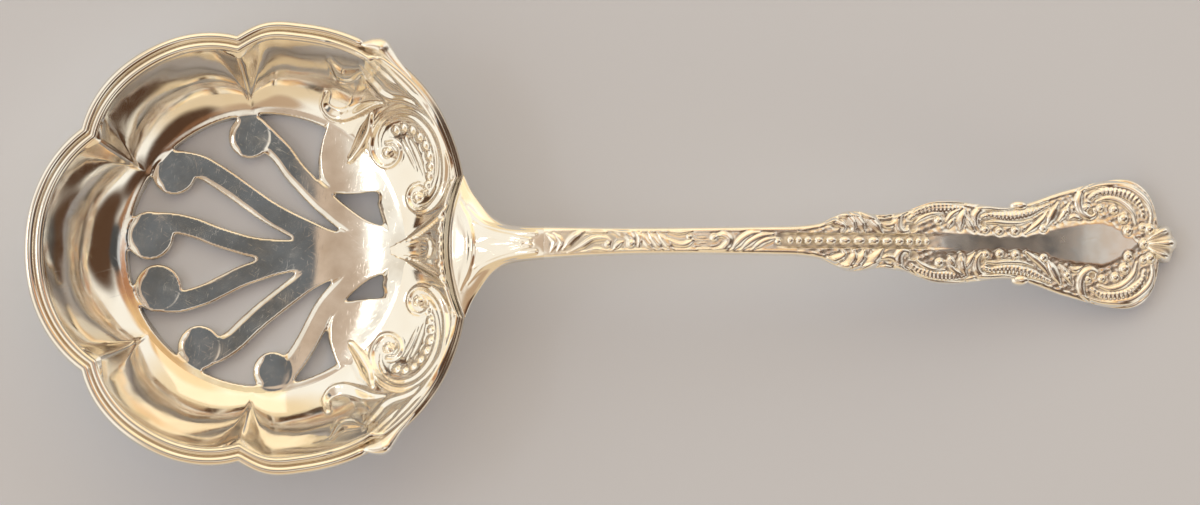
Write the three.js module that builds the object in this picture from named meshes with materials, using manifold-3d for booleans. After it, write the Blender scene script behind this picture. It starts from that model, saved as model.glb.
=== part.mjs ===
// Pierced bonbon spoon: a fluted bowl with a pierced floor, and a handle with scroll borders.
// Millimetres, +X to the handle's end, +Y to the left, +Z up. The spoon lies on the plane z = 0.
import * as THREE from 'three';
import Module from 'manifold-3d';
import { mergeVertices } from 'three/addons/utils/BufferGeometryUtils.js';

const wasm = await Module();
wasm.setup();

// Bowl
const TIP_REACH = 22.7; // bowl centre to the tip
const HEEL_REACH = 20.1; // bowl centre to the seam with the neck
const BORDER_LOBE = 24.0; // bowl centre to the fullest part of the border
const SIDE_CUSP_REACH = 21.6; // bowl centre to the cusps between the flutes
const TIP_CUSP_REACH = 20.9;
const SIDE_CUSP = 93; // degrees from the handle's side
const TIP_CUSP = 144;
const LEAF_TIP_ANGLE = 56; // where the reeded border ends
const RIM_HEIGHT = 10.5;
const FLOOR_SHEET = 1.1;
const EDGE_DEPTH = 1.5; // rim to the underside of its edge
const FLOOR_OPENING = 14.2; // radius of the pierced opening
const FLOOR_LIP = 0.5; // from the opening to the foot of the wall at a cusp
const FLUTE_ROOT = 0.3; // share of a flute's swell left at the foot of the wall
const WALL_TURN = 70; // degrees that a flute's wall has turned up by at its top
const SHOULDER_TURN = 50; // the same on the flatter shoulders
const RIM_WIDTH = 1.9; // the whole reeded border
const BEAD = 0.8; // diameter of its outer reed
const RIDGE_WIDTH = 0.45; // inner reed
const GROOVE_DEPTH = 0.35;
const EDGE_ROUND = 0.25; // rounding of the edges
const LEAF_TIP_SIZE = 0.7;
const GAP = 0.3; // between pieces that lie side by side

// Pierced spray
const BAR_WIDTH = 2.15;
const DISC_RADIUS = 2.15;
const HUB_REACH = 11.0; // bowl centre to the point where the bars meet
const SPRAY_TURN = 3.3; // degrees that the hand-sawn spray sits askew about that point
const LOBE_REACH = 9.4; // bowl centre to the floor lobes beside the hub
const LOBE_START = 24; // degrees over which a lobe stands out into the opening
const LOBE_END = 63;

// Handle
const NECK_LENGTH = 9.7;
const NECK_WIDTH = 14.6;
const HEEL_CURVE = 1.5; // how far the seam bows
const STEM_LENGTH = 25.4;
const STEM_WIDTH = 3.0;
const STEM_THICKNESS = 2.0;
const TERMINAL_LENGTH = 38.9;
const TERMINAL_WIDTH = 13.6;
const TERMINAL_THICKNESS = 1.7;
const NECK_THICKNESS = 1.6;
const HEEL_RISE = 0.6; // top of the neck above the rim where they meet
const ARCH_RISE = 2.7; // top of the arch above the heel
const HANDLE_SQUARENESS = 3.6; // section: 2 is an oval, more is squarer
const PEARL = 1.15; // diameter of the largest pearl
const PEARL_COUNT = 14;
const PEARL_ROW_SHARE = 0.36; // how far along the terminal the row runs
const FINIAL_RADIUS = 1.9;
const FINIAL_OVERHANG = 1.2; // how far the shell passes the terminal
const FINIAL_RISE = 0.2; // how far it stands above the terminal

// Relief, as radii of the raised lines and drops
const SCROLL_LINE = 0.45;
const FINE_LINE = 0.3;
const STEM_LINE = 0.4;
const LEAF_LINE = 0.55;
const BOWL_DROP = 0.45;
const HANDLE_DROP = 0.55;

const SILVER = new THREE.Color('#d9cdb4');
const GREY_SILVER = new THREE.Color('#8f9194');

// Places along the spoon, with the middle of its length at x = 0
const total = TIP_REACH + HEEL_REACH + NECK_LENGTH + STEM_LENGTH + TERMINAL_LENGTH + FINIAL_OVERHANG;
const bowlX = TIP_REACH - total / 2;
const heelX = bowlX + HEEL_REACH;
const stemX = heelX + NECK_LENGTH;
const terminalX = stemX + STEM_LENGTH;
const endX = terminalX + TERMINAL_LENGTH;
const heelMiddle = RIM_HEIGHT + HEEL_RISE - NECK_THICKNESS / 2;
const archTop = heelMiddle + ARCH_RISE;
const radians = THREE.MathUtils.degToRad;
const { lerp, smoothstep, clamp } = THREE.MathUtils;

// A smooth curve through [place, value] pairs, read at any place.
function curveThrough(pairs) {
  const slope = (i) => {
    const a = pairs[Math.max(i - 1, 0)];
    const b = pairs[Math.min(i + 1, pairs.length - 1)];
    return (b[1] - a[1]) / (b[0] - a[0]);
  };
  return (place) => {
    let i = 0;
    while (i < pairs.length - 2 && place > pairs[i + 1][0]) i += 1;
    const [x0, y0] = pairs[i];
    const [x1, y1] = pairs[i + 1];
    const step = x1 - x0;
    const t = clamp((place - x0) / step, 0, 1);
    const pull = slope(i) * step * t * (1 - t) ** 2 - slope(i + 1) * step * t ** 2 * (1 - t);
    return y0 + (y1 - y0) * (3 - 2 * t) * t ** 2 + pull;
  };
}

// Solids
function geometryOf(points, faces) {
  const geometry = new THREE.BufferGeometry();
  const numbers = points.flatMap((p) => [p.x, p.y, p.z]);
  geometry.setAttribute('position', new THREE.Float32BufferAttribute(numbers, 3));
  geometry.setIndex(faces);
  return geometry;
}

function solidOf(geometry) {
  const bare = geometry.clone();
  bare.deleteAttribute('normal');
  bare.deleteAttribute('uv');
  const merged = mergeVertices(bare, 1e-4);
  return new wasm.Manifold(new wasm.Mesh({
    numProp: 3,
    vertProperties: new Float32Array(merged.attributes.position.array),
    triVerts: new Uint32Array(merged.index.array),
  }));
}

function joined(solids) {
  return solids.reduce((whole, solid) => whole.add(solid));
}

function geometryFrom(solid) {
  const mesh = solid.getMesh();
  const geometry = new THREE.BufferGeometry();
  geometry.setAttribute('position', new THREE.BufferAttribute(mesh.vertProperties, 3));
  geometry.setIndex(new THREE.BufferAttribute(mesh.triVerts, 1));
  return geometry;
}

// Skins a row of rings. Where capped, a ring's point i pairs with its point count - i.
function loft(rings, capped) {
  const count = rings[0].length;
  const faces = [];
  const spans = capped ? rings.length - 1 : rings.length;
  for (let r = 0; r < spans; r += 1) {
    const next = (r + 1) % rings.length;
    for (let i = 0; i < count; i += 1) {
      const j = (i + 1) % count;
      const a = r * count;
      const b = next * count;
      faces.push(a + i, a + j, b + j, a + i, b + j, b + i);
    }
  }
  if (capped) {
    const last = (rings.length - 1) * count;
    for (let i = 0; i < count / 2; i += 1) {
      const quad = [i, i + 1, count - i - 1, (count - i) % count];
      const start = [quad[0], quad[2], quad[1], quad[0], quad[3], quad[2]];
      const triangles = [start.slice(0, 3), start.slice(3)];
      for (const [p, q, s] of triangles) {
        if (p === q || q === s || p === s) continue;
        faces.push(p, q, s);
        faces.push(last + p, last + s, last + q);
      }
    }
  }
  return geometryOf(rings.flat(), faces);
}

// A raised line with round ends: rings of a changing radius round a smooth path.
function strokeSolid(path, radius, steps, sides = 6, ends = 0.3) {
  const curve = new THREE.CatmullRomCurve3(path);
  const rings = [];
  for (let i = 0; i <= steps; i += 1) {
    const t = i / steps;
    const along = curve.getTangentAt(t);
    const side = new THREE.Vector3(-along.y, along.x, 0).normalize();
    const up = new THREE.Vector3().crossVectors(along, side);
    const size = radius * lerp(ends, 1, Math.sqrt(Math.sin(Math.PI * clamp(t, 0.02, 0.98))));
    const centre = curve.getPointAt(t);
    rings.push(Array.from({ length: sides }, (_, k) => {
      const angle = (2 * Math.PI * k) / sides;
      const point = centre.clone().addScaledVector(side, size * Math.cos(angle));
      return point.addScaledVector(up, size * Math.sin(angle));
    }));
  }
  return solidOf(loft(rings, true));
}

// Points that hug a surface along a smooth line through [place, value] pairs.
function surfaceLine(pairs, onSurface) {
  const points = pairs.map(([place, value]) => new THREE.Vector3(place, value, 0));
  const line = new THREE.CatmullRomCurve3(points, false, 'catmullrom');
  const count = 4 * pairs.length;
  return Array.from({ length: count + 1 }, (_, i) => {
    const point = line.getPoint(i / count);
    return onSurface(point.x, point.y);
  });
}

function dropSolid(centre, radius) {
  const ball = new THREE.SphereGeometry(radius, 6, 4);
  ball.translate(centre.x, centre.y, centre.z);
  return solidOf(ball);
}

// Bowl

// Angle from the heel, 0 to 180, the same on both sides
function fromHeel(degrees) {
  return Math.abs(THREE.MathUtils.euclideanModulo(degrees + 180, 360) - 180);
}

function atBowl(degrees, reach, height) {
  const angle = radians(degrees);
  return new THREE.Vector3(bowlX + reach * Math.cos(angle), reach * Math.sin(angle), height);
}

// Seam with the neck: a shallow bow, x = heel + HEEL_CURVE * (y / half the neck's width) squared
function seamReach(angle) {
  const bow = (HEEL_CURVE * Math.sin(radians(angle)) ** 2) / (NECK_WIDTH / 2) ** 2;
  const along = Math.cos(radians(angle));
  if (bow < 1e-9) return HEEL_REACH / along;
  return (along - Math.sqrt(along ** 2 - 4 * bow * HEEL_REACH)) / (2 * bow);
}

const earAngle = THREE.MathUtils.radToDeg(Math.atan2(NECK_WIDTH / 2, HEEL_REACH + HEEL_CURVE));

function fluteReach(t, start, end) {
  const swell = TIP_REACH - (start + end) / 2;
  return lerp(start, end, t) + swell * (1 - Math.abs(2 * t - 1) ** 2.4);
}

const shoulderReach = curveThrough([
  [earAngle, seamReach(earAngle)],
  [earAngle + 9.5, BORDER_LOBE * 0.975],
  [LEAF_TIP_ANGLE - 16, BORDER_LOBE],
  [LEAF_TIP_ANGLE + 6, BORDER_LOBE],
  [SIDE_CUSP - 17, lerp(SIDE_CUSP_REACH, BORDER_LOBE, 0.77)],
  [SIDE_CUSP - 7, lerp(SIDE_CUSP_REACH, BORDER_LOBE, 0.54)],
  [SIDE_CUSP, SIDE_CUSP_REACH],
]);

function borderReach(degrees) {
  const angle = fromHeel(degrees);
  if (angle >= TIP_CUSP) {
    return fluteReach((angle - TIP_CUSP) / (360 - 2 * TIP_CUSP), TIP_CUSP_REACH, TIP_CUSP_REACH);
  }
  if (angle >= SIDE_CUSP) {
    return fluteReach((angle - SIDE_CUSP) / (TIP_CUSP - SIDE_CUSP), SIDE_CUSP_REACH, TIP_CUSP_REACH);
  }
  return angle > earAngle ? shoulderReach(angle) : seamReach(angle);
}

// Inner edge of the floor: the round opening, or the two lobes beside the hub
const lobeStandOut = curveThrough([
  [0, 0.2], [0.08, 0.38], [0.18, 0.73], [0.31, 0.92], [0.49, 1], [0.69, 0.96], [0.88, 0.71],
  [0.96, 0.4], [1, 0],
]);

function floorEdge(degrees) {
  const place = (fromHeel(degrees) - LOBE_START) / (LOBE_END - LOBE_START);
  if (place >= 1) return FLOOR_OPENING;
  return lerp(FLOOR_OPENING, LOBE_REACH, lobeStandOut(Math.max(place, 0)));
}

function wallFoot(degrees) {
  return FLOOR_OPENING + FLOOR_LIP + FLUTE_ROOT * (borderReach(degrees) - TIP_CUSP_REACH);
}

// 1 along the fluted border, 0 along the heel, which has no separate reed
function borderShare(degrees) {
  return smoothstep(fromHeel(degrees), LEAF_TIP_ANGLE - 2, LEAF_TIP_ANGLE + 2);
}

function wallTurn(degrees) {
  return radians(lerp(SHOULDER_TURN, WALL_TURN, smoothstep(fromHeel(degrees), 45, 80)));
}

// The wall's curve between two ends, with share from 0 at the floor to 1 at the top
function wallCurve(turn, share, from, to) {
  return {
    reach: lerp(from.reach, to.reach, Math.sin(turn * share) / Math.sin(turn)),
    height: lerp(from.height, to.height, (1 - Math.cos(turn * share)) / (1 - Math.cos(turn))),
  };
}

function wallTop(degrees) {
  const width = lerp(RIM_WIDTH / 2, RIM_WIDTH, borderShare(degrees));
  return { reach: borderReach(degrees) - width, height: RIM_HEIGHT - GROOVE_DEPTH };
}

// A point on the upper face of the wall, run from 0 at the floor to 1 at its top
function onBowl(degrees, run) {
  const turn = wallTurn(degrees);
  const share = Math.asin(Math.min(run, 1) * Math.sin(turn)) / turn;
  const foot = { reach: wallFoot(degrees), height: FLOOR_SHEET };
  const point = wallCurve(turn, share, foot, wallTop(degrees));
  return atBowl(degrees, point.reach, point.height);
}

// One section of the bowl. The reed's ledge fades out where the shoulders begin.
function bowlRing(degrees) {
  const share = borderShare(degrees);
  const turn = wallTurn(degrees);
  const border = borderReach(degrees);
  const ledge = border - lerp(EDGE_ROUND, BEAD + GAP, share);
  const ledgeHeight = RIM_HEIGHT - lerp(EDGE_ROUND, BEAD + GAP, share);
  const edge = border - share * EDGE_ROUND / 2;
  const ridge = ledge - EDGE_ROUND / 2;
  const foot = wallFoot(degrees);
  const steps = 5;
  const curve = (from, to) => Array.from({ length: steps + 1 }, (_, i) => (
    wallCurve(turn, i / steps, from, to)
  ));
  const points = [
    { reach: floorEdge(degrees), height: 0 },
    { reach: floorEdge(degrees), height: FLOOR_SHEET },
    ...curve({ reach: foot, height: FLOOR_SHEET }, wallTop(degrees)),
    { reach: ridge - RIDGE_WIDTH, height: RIM_HEIGHT },
    { reach: ridge, height: RIM_HEIGHT },
    { reach: ledge, height: RIM_HEIGHT - EDGE_ROUND / 2 },
    { reach: ledge + 0.01, height: ledgeHeight },
    { reach: edge, height: ledgeHeight - 0.01 },
    ...curve({ reach: foot, height: 0 }, { reach: edge, height: RIM_HEIGHT - EDGE_DEPTH }).reverse(),
  ];
  return points.map((p) => atBowl(degrees, p.reach, p.height));
}

// Relief of one shoulder, as [degrees, run] paths on the wall
const SHOULDER_SCROLL = [
  [35, 0.26], [33, 0.16], [39.5, 0.14], [42.7, 0.34], [43.9, 0.56], [41.9, 0.68], [37, 0.77], [31.4, 0.83],
  [25.5, 0.87], [20, 0.85], [15.3, 0.79], [12.4, 0.65], [13.6, 0.5], [17, 0.44],
];
const SHOULDER_INNER = [[39, 0.4], [40, 0.55], [36, 0.65], [31, 0.71], [26, 0.75], [20, 0.73], [17, 0.66]];
const SHOULDER_DROPS = [[35.9, 0.48], [32.6, 0.54], [28.5, 0.6], [24.5, 0.62], [21.2, 0.6]];
const SHOULDER_LEAF = [[47, 0.38], [46.5, 0.26], [45, 0.14], [44, 0.04]];
const SHOULDER_CURL = [[65, 0.36], [58, 0.28], [52, 0.32], [48, 0.5], [51, 0.64], [55, 0.7]];
const SHOULDER_EDGES = [
  [[56, 0.94], [48, 0.88], [40, 0.91], [31, 0.94], [22, 0.95], [14, 0.95]],
  [[58, 0.82], [51, 0.76], [45, 0.8], [38, 0.87], [30, 0.92]],
];
const HEEL_LEAF = [0.06, 0.2, 0.4, 0.55];

function shoulderRelief(side) {
  const stroke = (pairs, radius, steps, sides = 6) => strokeSolid(
    surfaceLine(pairs, (degrees, run) => onBowl(side * degrees, run)), radius, steps, sides,
  );
  return [
    stroke(SHOULDER_SCROLL, SCROLL_LINE, 20),
    stroke(SHOULDER_INNER, FINE_LINE, 9, 5),
    stroke(SHOULDER_LEAF, LEAF_LINE, 5),
    stroke(SHOULDER_CURL, SCROLL_LINE, 10),
    ...SHOULDER_EDGES.map((line) => stroke(line, FINE_LINE, 14, 5)),
    ...SHOULDER_DROPS.map(([degrees, run]) => dropSolid(onBowl(side * degrees, run), BOWL_DROP)),
  ];
}

function bowl() {
  const half = [0, 0.05, 0.1, 0.22, 0.87, 0.91, 0.96, 1].map((place) => lerp(LOBE_START, LOBE_END, place));
  half.push(earAngle, SIDE_CUSP, TIP_CUSP);
  const angles = new Set([...half, ...half.map((angle) => 360 - angle)]);
  for (let degrees = 0; degrees < 360; degrees += 6) angles.add(degrees);
  const rings = [...angles].sort((a, b) => a - b).map(bowlRing);
  return geometryFrom(joined([
    solidOf(loft(rings, false)),
    ...shoulderRelief(1),
    ...shoulderRelief(-1),
    strokeSolid(HEEL_LEAF.map((run) => onBowl(0, run)), LEAF_LINE, 5),
  ]));
}

// The outer reed lies on the bowl's ledge and runs from leaf tip to leaf tip.
function rimBead() {
  const first = LEAF_TIP_ANGLE + 4;
  const angles = new Set([SIDE_CUSP, TIP_CUSP, 360 - SIDE_CUSP, 360 - TIP_CUSP, 360 - first]);
  for (let degrees = first; degrees < 360 - first; degrees += 6) angles.add(degrees);
  const sides = 8;
  return loft([...angles].sort((a, b) => a - b).map((degrees) => Array.from({ length: sides }, (_, k) => {
    const angle = (-2 * Math.PI * k) / sides;
    const reach = borderReach(degrees) + (BEAD / 2) * (Math.cos(angle) - 1);
    return atBowl(degrees, reach, RIM_HEIGHT + (BEAD / 2) * (Math.sin(angle) - 1));
  })), true);
}

// The curled leaf tip that closes the border, just clear of the bowl's edge
function leafTip(side) {
  const path = [[5, 0.1], [1.5, 0.05], [-2, 0], [-4.5, 0.1]].map(([turn, inward]) => {
    const degrees = LEAF_TIP_ANGLE + turn;
    const reach = borderReach(degrees) + GAP + LEAF_TIP_SIZE - inward;
    return atBowl(side * degrees, reach, RIM_HEIGHT - LEAF_TIP_SIZE / 2);
  });
  return geometryFrom(strokeSolid(path, LEAF_TIP_SIZE, 8, 8));
}

// Pierced spray

// Bars as [share of the opening's radius, degrees] from the hub, disc end first. Each ends at the heel.
const SPRAY_BARS = [
  { disc: [1.585, 7.4], line: [[1.5, 11.6], [1.27, 11.2], [1, 8.6], [0.77, 6.2], [0.42, 3]], root: 0 },
  { disc: [1.465, 25.4], line: [[1.39, 29.2], [1.18, 30], [0.76, 26], [0.44, 20.5], [0.14, 14]], root: 2 },
  { disc: [1.16, 48.2], line: [[1.13, 51.5], [1, 51.8], [0.73, 51.9], [0.52, 51.6], [0.31, 54]], root: 6 },
];

function atHub(share, degrees) {
  const angle = radians(180 - degrees + SPRAY_TURN);
  const reach = share * FLOOR_OPENING;
  return new THREE.Vector3(bowlX + HUB_REACH + reach * Math.cos(angle), reach * Math.sin(angle), 0);
}

function plate(points, thickness) {
  const outline = new THREE.Shape(points.map((p) => new THREE.Vector2(p.x, p.y)));
  return solidOf(new THREE.ExtrudeGeometry(outline, { depth: thickness, bevelEnabled: false }));
}

function bar(path) {
  const curve = new THREE.CatmullRomCurve3(path);
  const steps = 14;
  const edges = [1, -1].map((hand) => Array.from({ length: steps + 1 }, (_, i) => {
    const along = curve.getTangentAt(i / steps);
    const across = new THREE.Vector3(-along.y, along.x, 0).multiplyScalar((hand * BAR_WIDTH) / 2);
    return curve.getPointAt(i / steps).add(across);
  }));
  return plate([...edges[0], ...edges[1].reverse()], FLOOR_SHEET);
}

function piercedSpray() {
  const solids = [];
  for (const side of [1, -1]) {
    for (const { disc, line, root } of SPRAY_BARS) {
      const centre = atHub(disc[0], side * disc[1]);
      const round = new THREE.CylinderGeometry(DISC_RADIUS, DISC_RADIUS, FLOOR_SHEET, 20);
      round.rotateX(Math.PI / 2).translate(centre.x, centre.y, FLOOR_SHEET / 2);
      const heel = atBowl(side * root, FLOOR_OPENING, 0);
      const path = line.map(([share, angle]) => atHub(share, side * angle));
      solids.push(solidOf(round), bar([...path, heel]));
    }
  }
  const opening = Array.from({ length: 120 }, (_, i) => atBowl(i * 3, floorEdge(i * 3) - GAP, 0));
  return geometryFrom(joined(solids).intersect(plate(opening, FLOOR_SHEET)));
}

// Handle

const archMiddle = curveThrough([
  [heelX, heelMiddle],
  [stemX, lerp(heelMiddle, archTop, 0.67)],
  [stemX + STEM_LENGTH * 0.45, archTop],
  [terminalX, archTop * 0.855],
  [terminalX + TERMINAL_LENGTH * 0.45, archTop * 0.48],
  [terminalX + TERMINAL_LENGTH * 0.78, archTop * 0.17],
  [endX, TERMINAL_THICKNESS / 2],
]);

// Half width of the terminal as a share of the widest, by place along it
const terminalOutline = [
  [0.032, 0.245], [0.064, 0.28], [0.096, 0.365], [0.128, 0.44], [0.16, 0.45], [0.208, 0.405],
  [0.256, 0.425], [0.288, 0.455], [0.32, 0.53], [0.352, 0.6], [0.405, 0.63], [0.48, 0.59], [0.544, 0.55],
  [0.59, 0.565], [0.64, 0.645], [0.7, 0.765], [0.768, 0.875], [0.832, 0.96], [0.9, 1], [0.95, 0.95],
  [0.98, 0.83], [1, 0.6],
];

const halfWidth = curveThrough([
  [stemX, STEM_WIDTH * 0.55],
  [stemX + STEM_LENGTH * 0.15, STEM_WIDTH / 2],
  [stemX + STEM_LENGTH * 0.9, STEM_WIDTH / 2],
  [terminalX, STEM_WIDTH * 0.517],
  ...terminalOutline.map(([place, share]) => (
    [terminalX + place * TERMINAL_LENGTH, (share * TERMINAL_WIDTH) / 2]
  )),
]);

const halfThickness = curveThrough([
  [stemX, STEM_THICKNESS / 2], [terminalX, STEM_THICKNESS * 0.475],
  [terminalX + TERMINAL_LENGTH * 0.3, TERMINAL_THICKNESS / 2], [endX, TERMINAL_THICKNESS / 2],
]);

function sectionPoint(k, count, squareness) {
  const angle = (2 * Math.PI * k) / count;
  const squared = (value) => Math.sign(value) * Math.abs(value) ** (2 / squareness);
  const across = Math.abs(Math.cos(angle)) < 1e-9 ? 0 : squared(Math.cos(angle));
  const up = Math.abs(Math.sin(angle)) < 1e-9 ? 0 : squared(Math.sin(angle));
  return { across, up };
}

function handleRing(x, count) {
  return Array.from({ length: count }, (_, k) => {
    const { across, up } = sectionPoint(k, count, HANDLE_SQUARENESS);
    return new THREE.Vector3(x, across * halfWidth(x), archMiddle(x) + up * halfThickness(x));
  });
}

function handleSolid(from, to, steps, count) {
  const rings = Array.from({ length: steps + 1 }, (_, i) => handleRing(lerp(from, to, i / steps), count));
  return solidOf(loft(rings, true));
}

// A point on the handle's upper face, across from -1 to 1
function onHandle(x, across) {
  const up = Math.max(1 - Math.abs(across) ** HANDLE_SQUARENESS, 0) ** (1 / HANDLE_SQUARENESS);
  return new THREE.Vector3(x, across * halfWidth(x), archMiddle(x) + up * halfThickness(x));
}

function neck() {
  const flank = curveThrough([
    [0, NECK_WIDTH / 2], [0.09, NECK_WIDTH * 0.39], [0.2, NECK_WIDTH * 0.3], [0.32, NECK_WIDTH * 0.215],
    [0.44, NECK_WIDTH * 0.165], [0.58, NECK_WIDTH * 0.135], [0.78, halfWidth(stemX) * 1.1],
    [1, halfWidth(stemX)],
  ]);
  const thickness = curveThrough([
    [0, NECK_THICKNESS / 2], [0.3, NECK_THICKNESS / 2], [1, halfThickness(stemX)],
  ]);
  const steps = 14;
  const count = 16;
  return loft(Array.from({ length: steps + 1 }, (_, i) => {
    const t = i / steps;
    const squareness = lerp(1.6, HANDLE_SQUARENESS, t);
    return Array.from({ length: count }, (_unused, k) => {
      const { across, up } = sectionPoint(k, count, squareness);
      const x = lerp(heelX + GAP + HEEL_CURVE * across ** 2, stemX, t);
      return new THREE.Vector3(x, across * flank(t), archMiddle(x) + up * thickness(t));
    });
  }), true);
}

// Running scroll of the stem, as [share of its length, across] paths
const STEM_UNITS = [0.08, 0.52];

function stem() {
  const lines = STEM_UNITS.flatMap((start) => [
    [[start, -0.5], [start + 0.08, -0.2], [start + 0.16, 0.35], [start + 0.2, 0.2]],
    [[start + 0.2, 0.6], [start + 0.25, 0.3], [start + 0.29, -0.35], [start + 0.25, -0.45]],
    [[start + 0.3, 0.5], [start + 0.36, -0.1], [start + 0.4, -0.55]],
  ]);
  const place = (share, across) => onHandle(stemX + share * STEM_LENGTH, across);
  const relief = lines.map((line) => strokeSolid(surfaceLine(line, place), STEM_LINE, 6, 5));
  return geometryFrom(joined([handleSolid(stemX, terminalX, 16, 16), ...relief]));
}

// Relief of one side of the terminal, as [share of its length, across] paths
const TERMINAL_FEATHERS = [
  [[0.09, 0.8], [0.12, 0.72], [0.15, 0.4], [0.16, 0.32]],
  [[0.13, 0.88], [0.165, 0.75], [0.19, 0.4], [0.2, 0.3]],
  [[0.17, 0.9], [0.205, 0.78], [0.235, 0.42], [0.245, 0.32]],
];
const TERMINAL_SCROLLS = [
  [[0.315, 0.4], [0.3, 0.62], [0.31, 0.8], [0.34, 0.84], [0.385, 0.84], [0.45, 0.82]],
  [[0.52, 0.58], [0.51, 0.74], [0.53, 0.84], [0.57, 0.84], [0.62, 0.8], [0.675, 0.7]],
  [[0.785, 0.42], [0.775, 0.55], [0.8, 0.7], [0.85, 0.8], [0.905, 0.79], [0.948, 0.68], [0.965, 0.5]],
];
const TERMINAL_LEAVES = [
  [[0.42, 0.36], [0.435, 0.55], [0.46, 0.72]],
  [[0.627, 0.25], [0.66, 0.4], [0.7, 0.66]],
  [[0.7, 0.3], [0.73, 0.4], [0.75, 0.62]],
];
const TERMINAL_DROPS = [
  [0.395, 0.52], [0.523, 0.38], [0.56, 0.39], [0.6, 0.35],
  [0.805, 0.5], [0.836, 0.5], [0.869, 0.46], [0.896, 0.32], [0.91, 0.15],
];
const TERMINAL_EAR = 0.613; // place of the small side ears

// Pearls grow towards the middle of the row
const pearlEnds = PEARL * 0.62;
const firstPearlX = terminalX + pearlEnds / 2 + GAP;
const lastPearlX = terminalX + TERMINAL_LENGTH * PEARL_ROW_SHARE;

function pearls() {
  return Array.from({ length: PEARL_COUNT }, (_, i) => {
    const t = i / (PEARL_COUNT - 1);
    return {
      centre: onHandle(lerp(firstPearlX, lastPearlX, t), 0),
      radius: lerp(pearlEnds, PEARL, Math.sin(Math.PI * t)) / 2,
    };
  });
}

function pearlRow() {
  const row = pearls();
  return geometryFrom(joined([
    ...row.map(({ centre, radius }) => dropSolid(centre, radius)),
    strokeSolid(row.map(({ centre }) => centre), PEARL * 0.2, 14, 5, 0.9),
  ]));
}

function pearlGroove() {
  const path = [terminalX - PEARL, ...pearls().map(({ centre }) => centre.x), lastPearlX + PEARL / 2 + GAP];
  return strokeSolid(path.map((x) => onHandle(x, 0)), PEARL / 2 + GAP * 1.15, 16, 8, 0.9);
}

const finialCentre = new THREE.Vector3(endX + FINIAL_OVERHANG - FINIAL_RADIUS, 0, archMiddle(endX));

function terminal() {
  const earX = terminalX + TERMINAL_EAR * TERMINAL_LENGTH;
  const relief = [1, -1].flatMap((side) => {
    const place = (share, across) => onHandle(terminalX + share * TERMINAL_LENGTH, side * across);
    const stroke = (radius, steps) => (line) => (
      strokeSolid(surfaceLine(line, place), radius, steps, 5)
    );
    return [
      ...TERMINAL_FEATHERS.map(stroke(LEAF_LINE, 5)),
      ...TERMINAL_SCROLLS.map(stroke(LEAF_LINE, 9)),
      ...TERMINAL_LEAVES.map(stroke(SCROLL_LINE, 4)),
      ...TERMINAL_DROPS.map(([share, across]) => dropSolid(place(share, across), HANDLE_DROP)),
      dropSolid(new THREE.Vector3(earX, side * halfWidth(earX), archMiddle(earX)), HANDLE_DROP * 1.3),
    ];
  });
  const notchRadius = FINIAL_RADIUS + GAP;
  const notch = new THREE.CylinderGeometry(notchRadius, notchRadius, 4 * TERMINAL_THICKNESS, 24);
  notch.rotateX(Math.PI / 2).translate(finialCentre.x, finialCentre.y, finialCentre.z);
  return geometryFrom(joined([handleSolid(terminalX, endX, 40, 16), ...relief])
    .subtract(pearlGroove())
    .subtract(solidOf(notch)));
}

// Shell: a low ribbed dome, flat underneath
function shellFinial() {
  const ribs = 7;
  const count = 28;
  const levels = [[1, 0], [1, 0.4], [0.86, 0.72], [0.55, 0.92], [0.15, 1]];
  return loft(levels.map(([reach, rise]) => Array.from({ length: count }, (_, k) => {
    const angle = (2 * Math.PI * k) / count;
    const rib = 1 - 0.16 * reach * (0.5 - 0.5 * Math.cos(ribs * angle));
    return new THREE.Vector3(
      finialCentre.x + FINIAL_RADIUS * reach * rib * Math.cos(angle),
      FINIAL_RADIUS * reach * rib * Math.sin(angle),
      rise * (TERMINAL_THICKNESS + FINIAL_RISE),
    );
  })), true);
}

// Assembly

function silver(color, roughness) {
  return new THREE.MeshStandardMaterial({ color, roughness, metalness: 1 });
}

const group = new THREE.Group();

function addPiece(name, geometry, color = SILVER, roughness = 0.12) {
  const mesh = new THREE.Mesh(geometry, silver(color, roughness));
  mesh.name = name;
  group.add(mesh);
}

addPiece('bowl', bowl());
addPiece('pierced_spray', piercedSpray(), GREY_SILVER, 0.18);
addPiece('rim_bead', rimBead());
addPiece('leaf_tip_left', leafTip(1));
addPiece('leaf_tip_right', leafTip(-1));
addPiece('neck', neck());
addPiece('stem', stem());
addPiece('pearl_row', pearlRow());
addPiece('terminal', terminal(), SILVER, 0.16);
addPiece('shell_finial', shellFinial());

export default group;
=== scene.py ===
import math

import bmesh
import bpy
import numpy as np
from mathutils import Matrix, Vector


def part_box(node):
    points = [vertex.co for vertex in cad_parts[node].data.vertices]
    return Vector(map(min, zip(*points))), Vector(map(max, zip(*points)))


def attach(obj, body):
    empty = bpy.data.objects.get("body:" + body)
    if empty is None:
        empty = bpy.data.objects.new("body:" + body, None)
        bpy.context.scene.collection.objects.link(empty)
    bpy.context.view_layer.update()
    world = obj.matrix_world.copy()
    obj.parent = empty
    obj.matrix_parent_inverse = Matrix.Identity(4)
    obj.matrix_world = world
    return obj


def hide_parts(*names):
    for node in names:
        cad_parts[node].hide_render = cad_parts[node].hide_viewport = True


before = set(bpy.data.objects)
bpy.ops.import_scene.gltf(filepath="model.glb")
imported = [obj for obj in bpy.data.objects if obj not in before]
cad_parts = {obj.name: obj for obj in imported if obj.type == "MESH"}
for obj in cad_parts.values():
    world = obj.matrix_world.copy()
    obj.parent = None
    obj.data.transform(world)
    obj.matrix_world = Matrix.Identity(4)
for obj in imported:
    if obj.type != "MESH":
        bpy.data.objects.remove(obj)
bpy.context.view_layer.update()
mm = 0.001  # lengths below are in millimetres, and Blender works in metres

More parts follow.
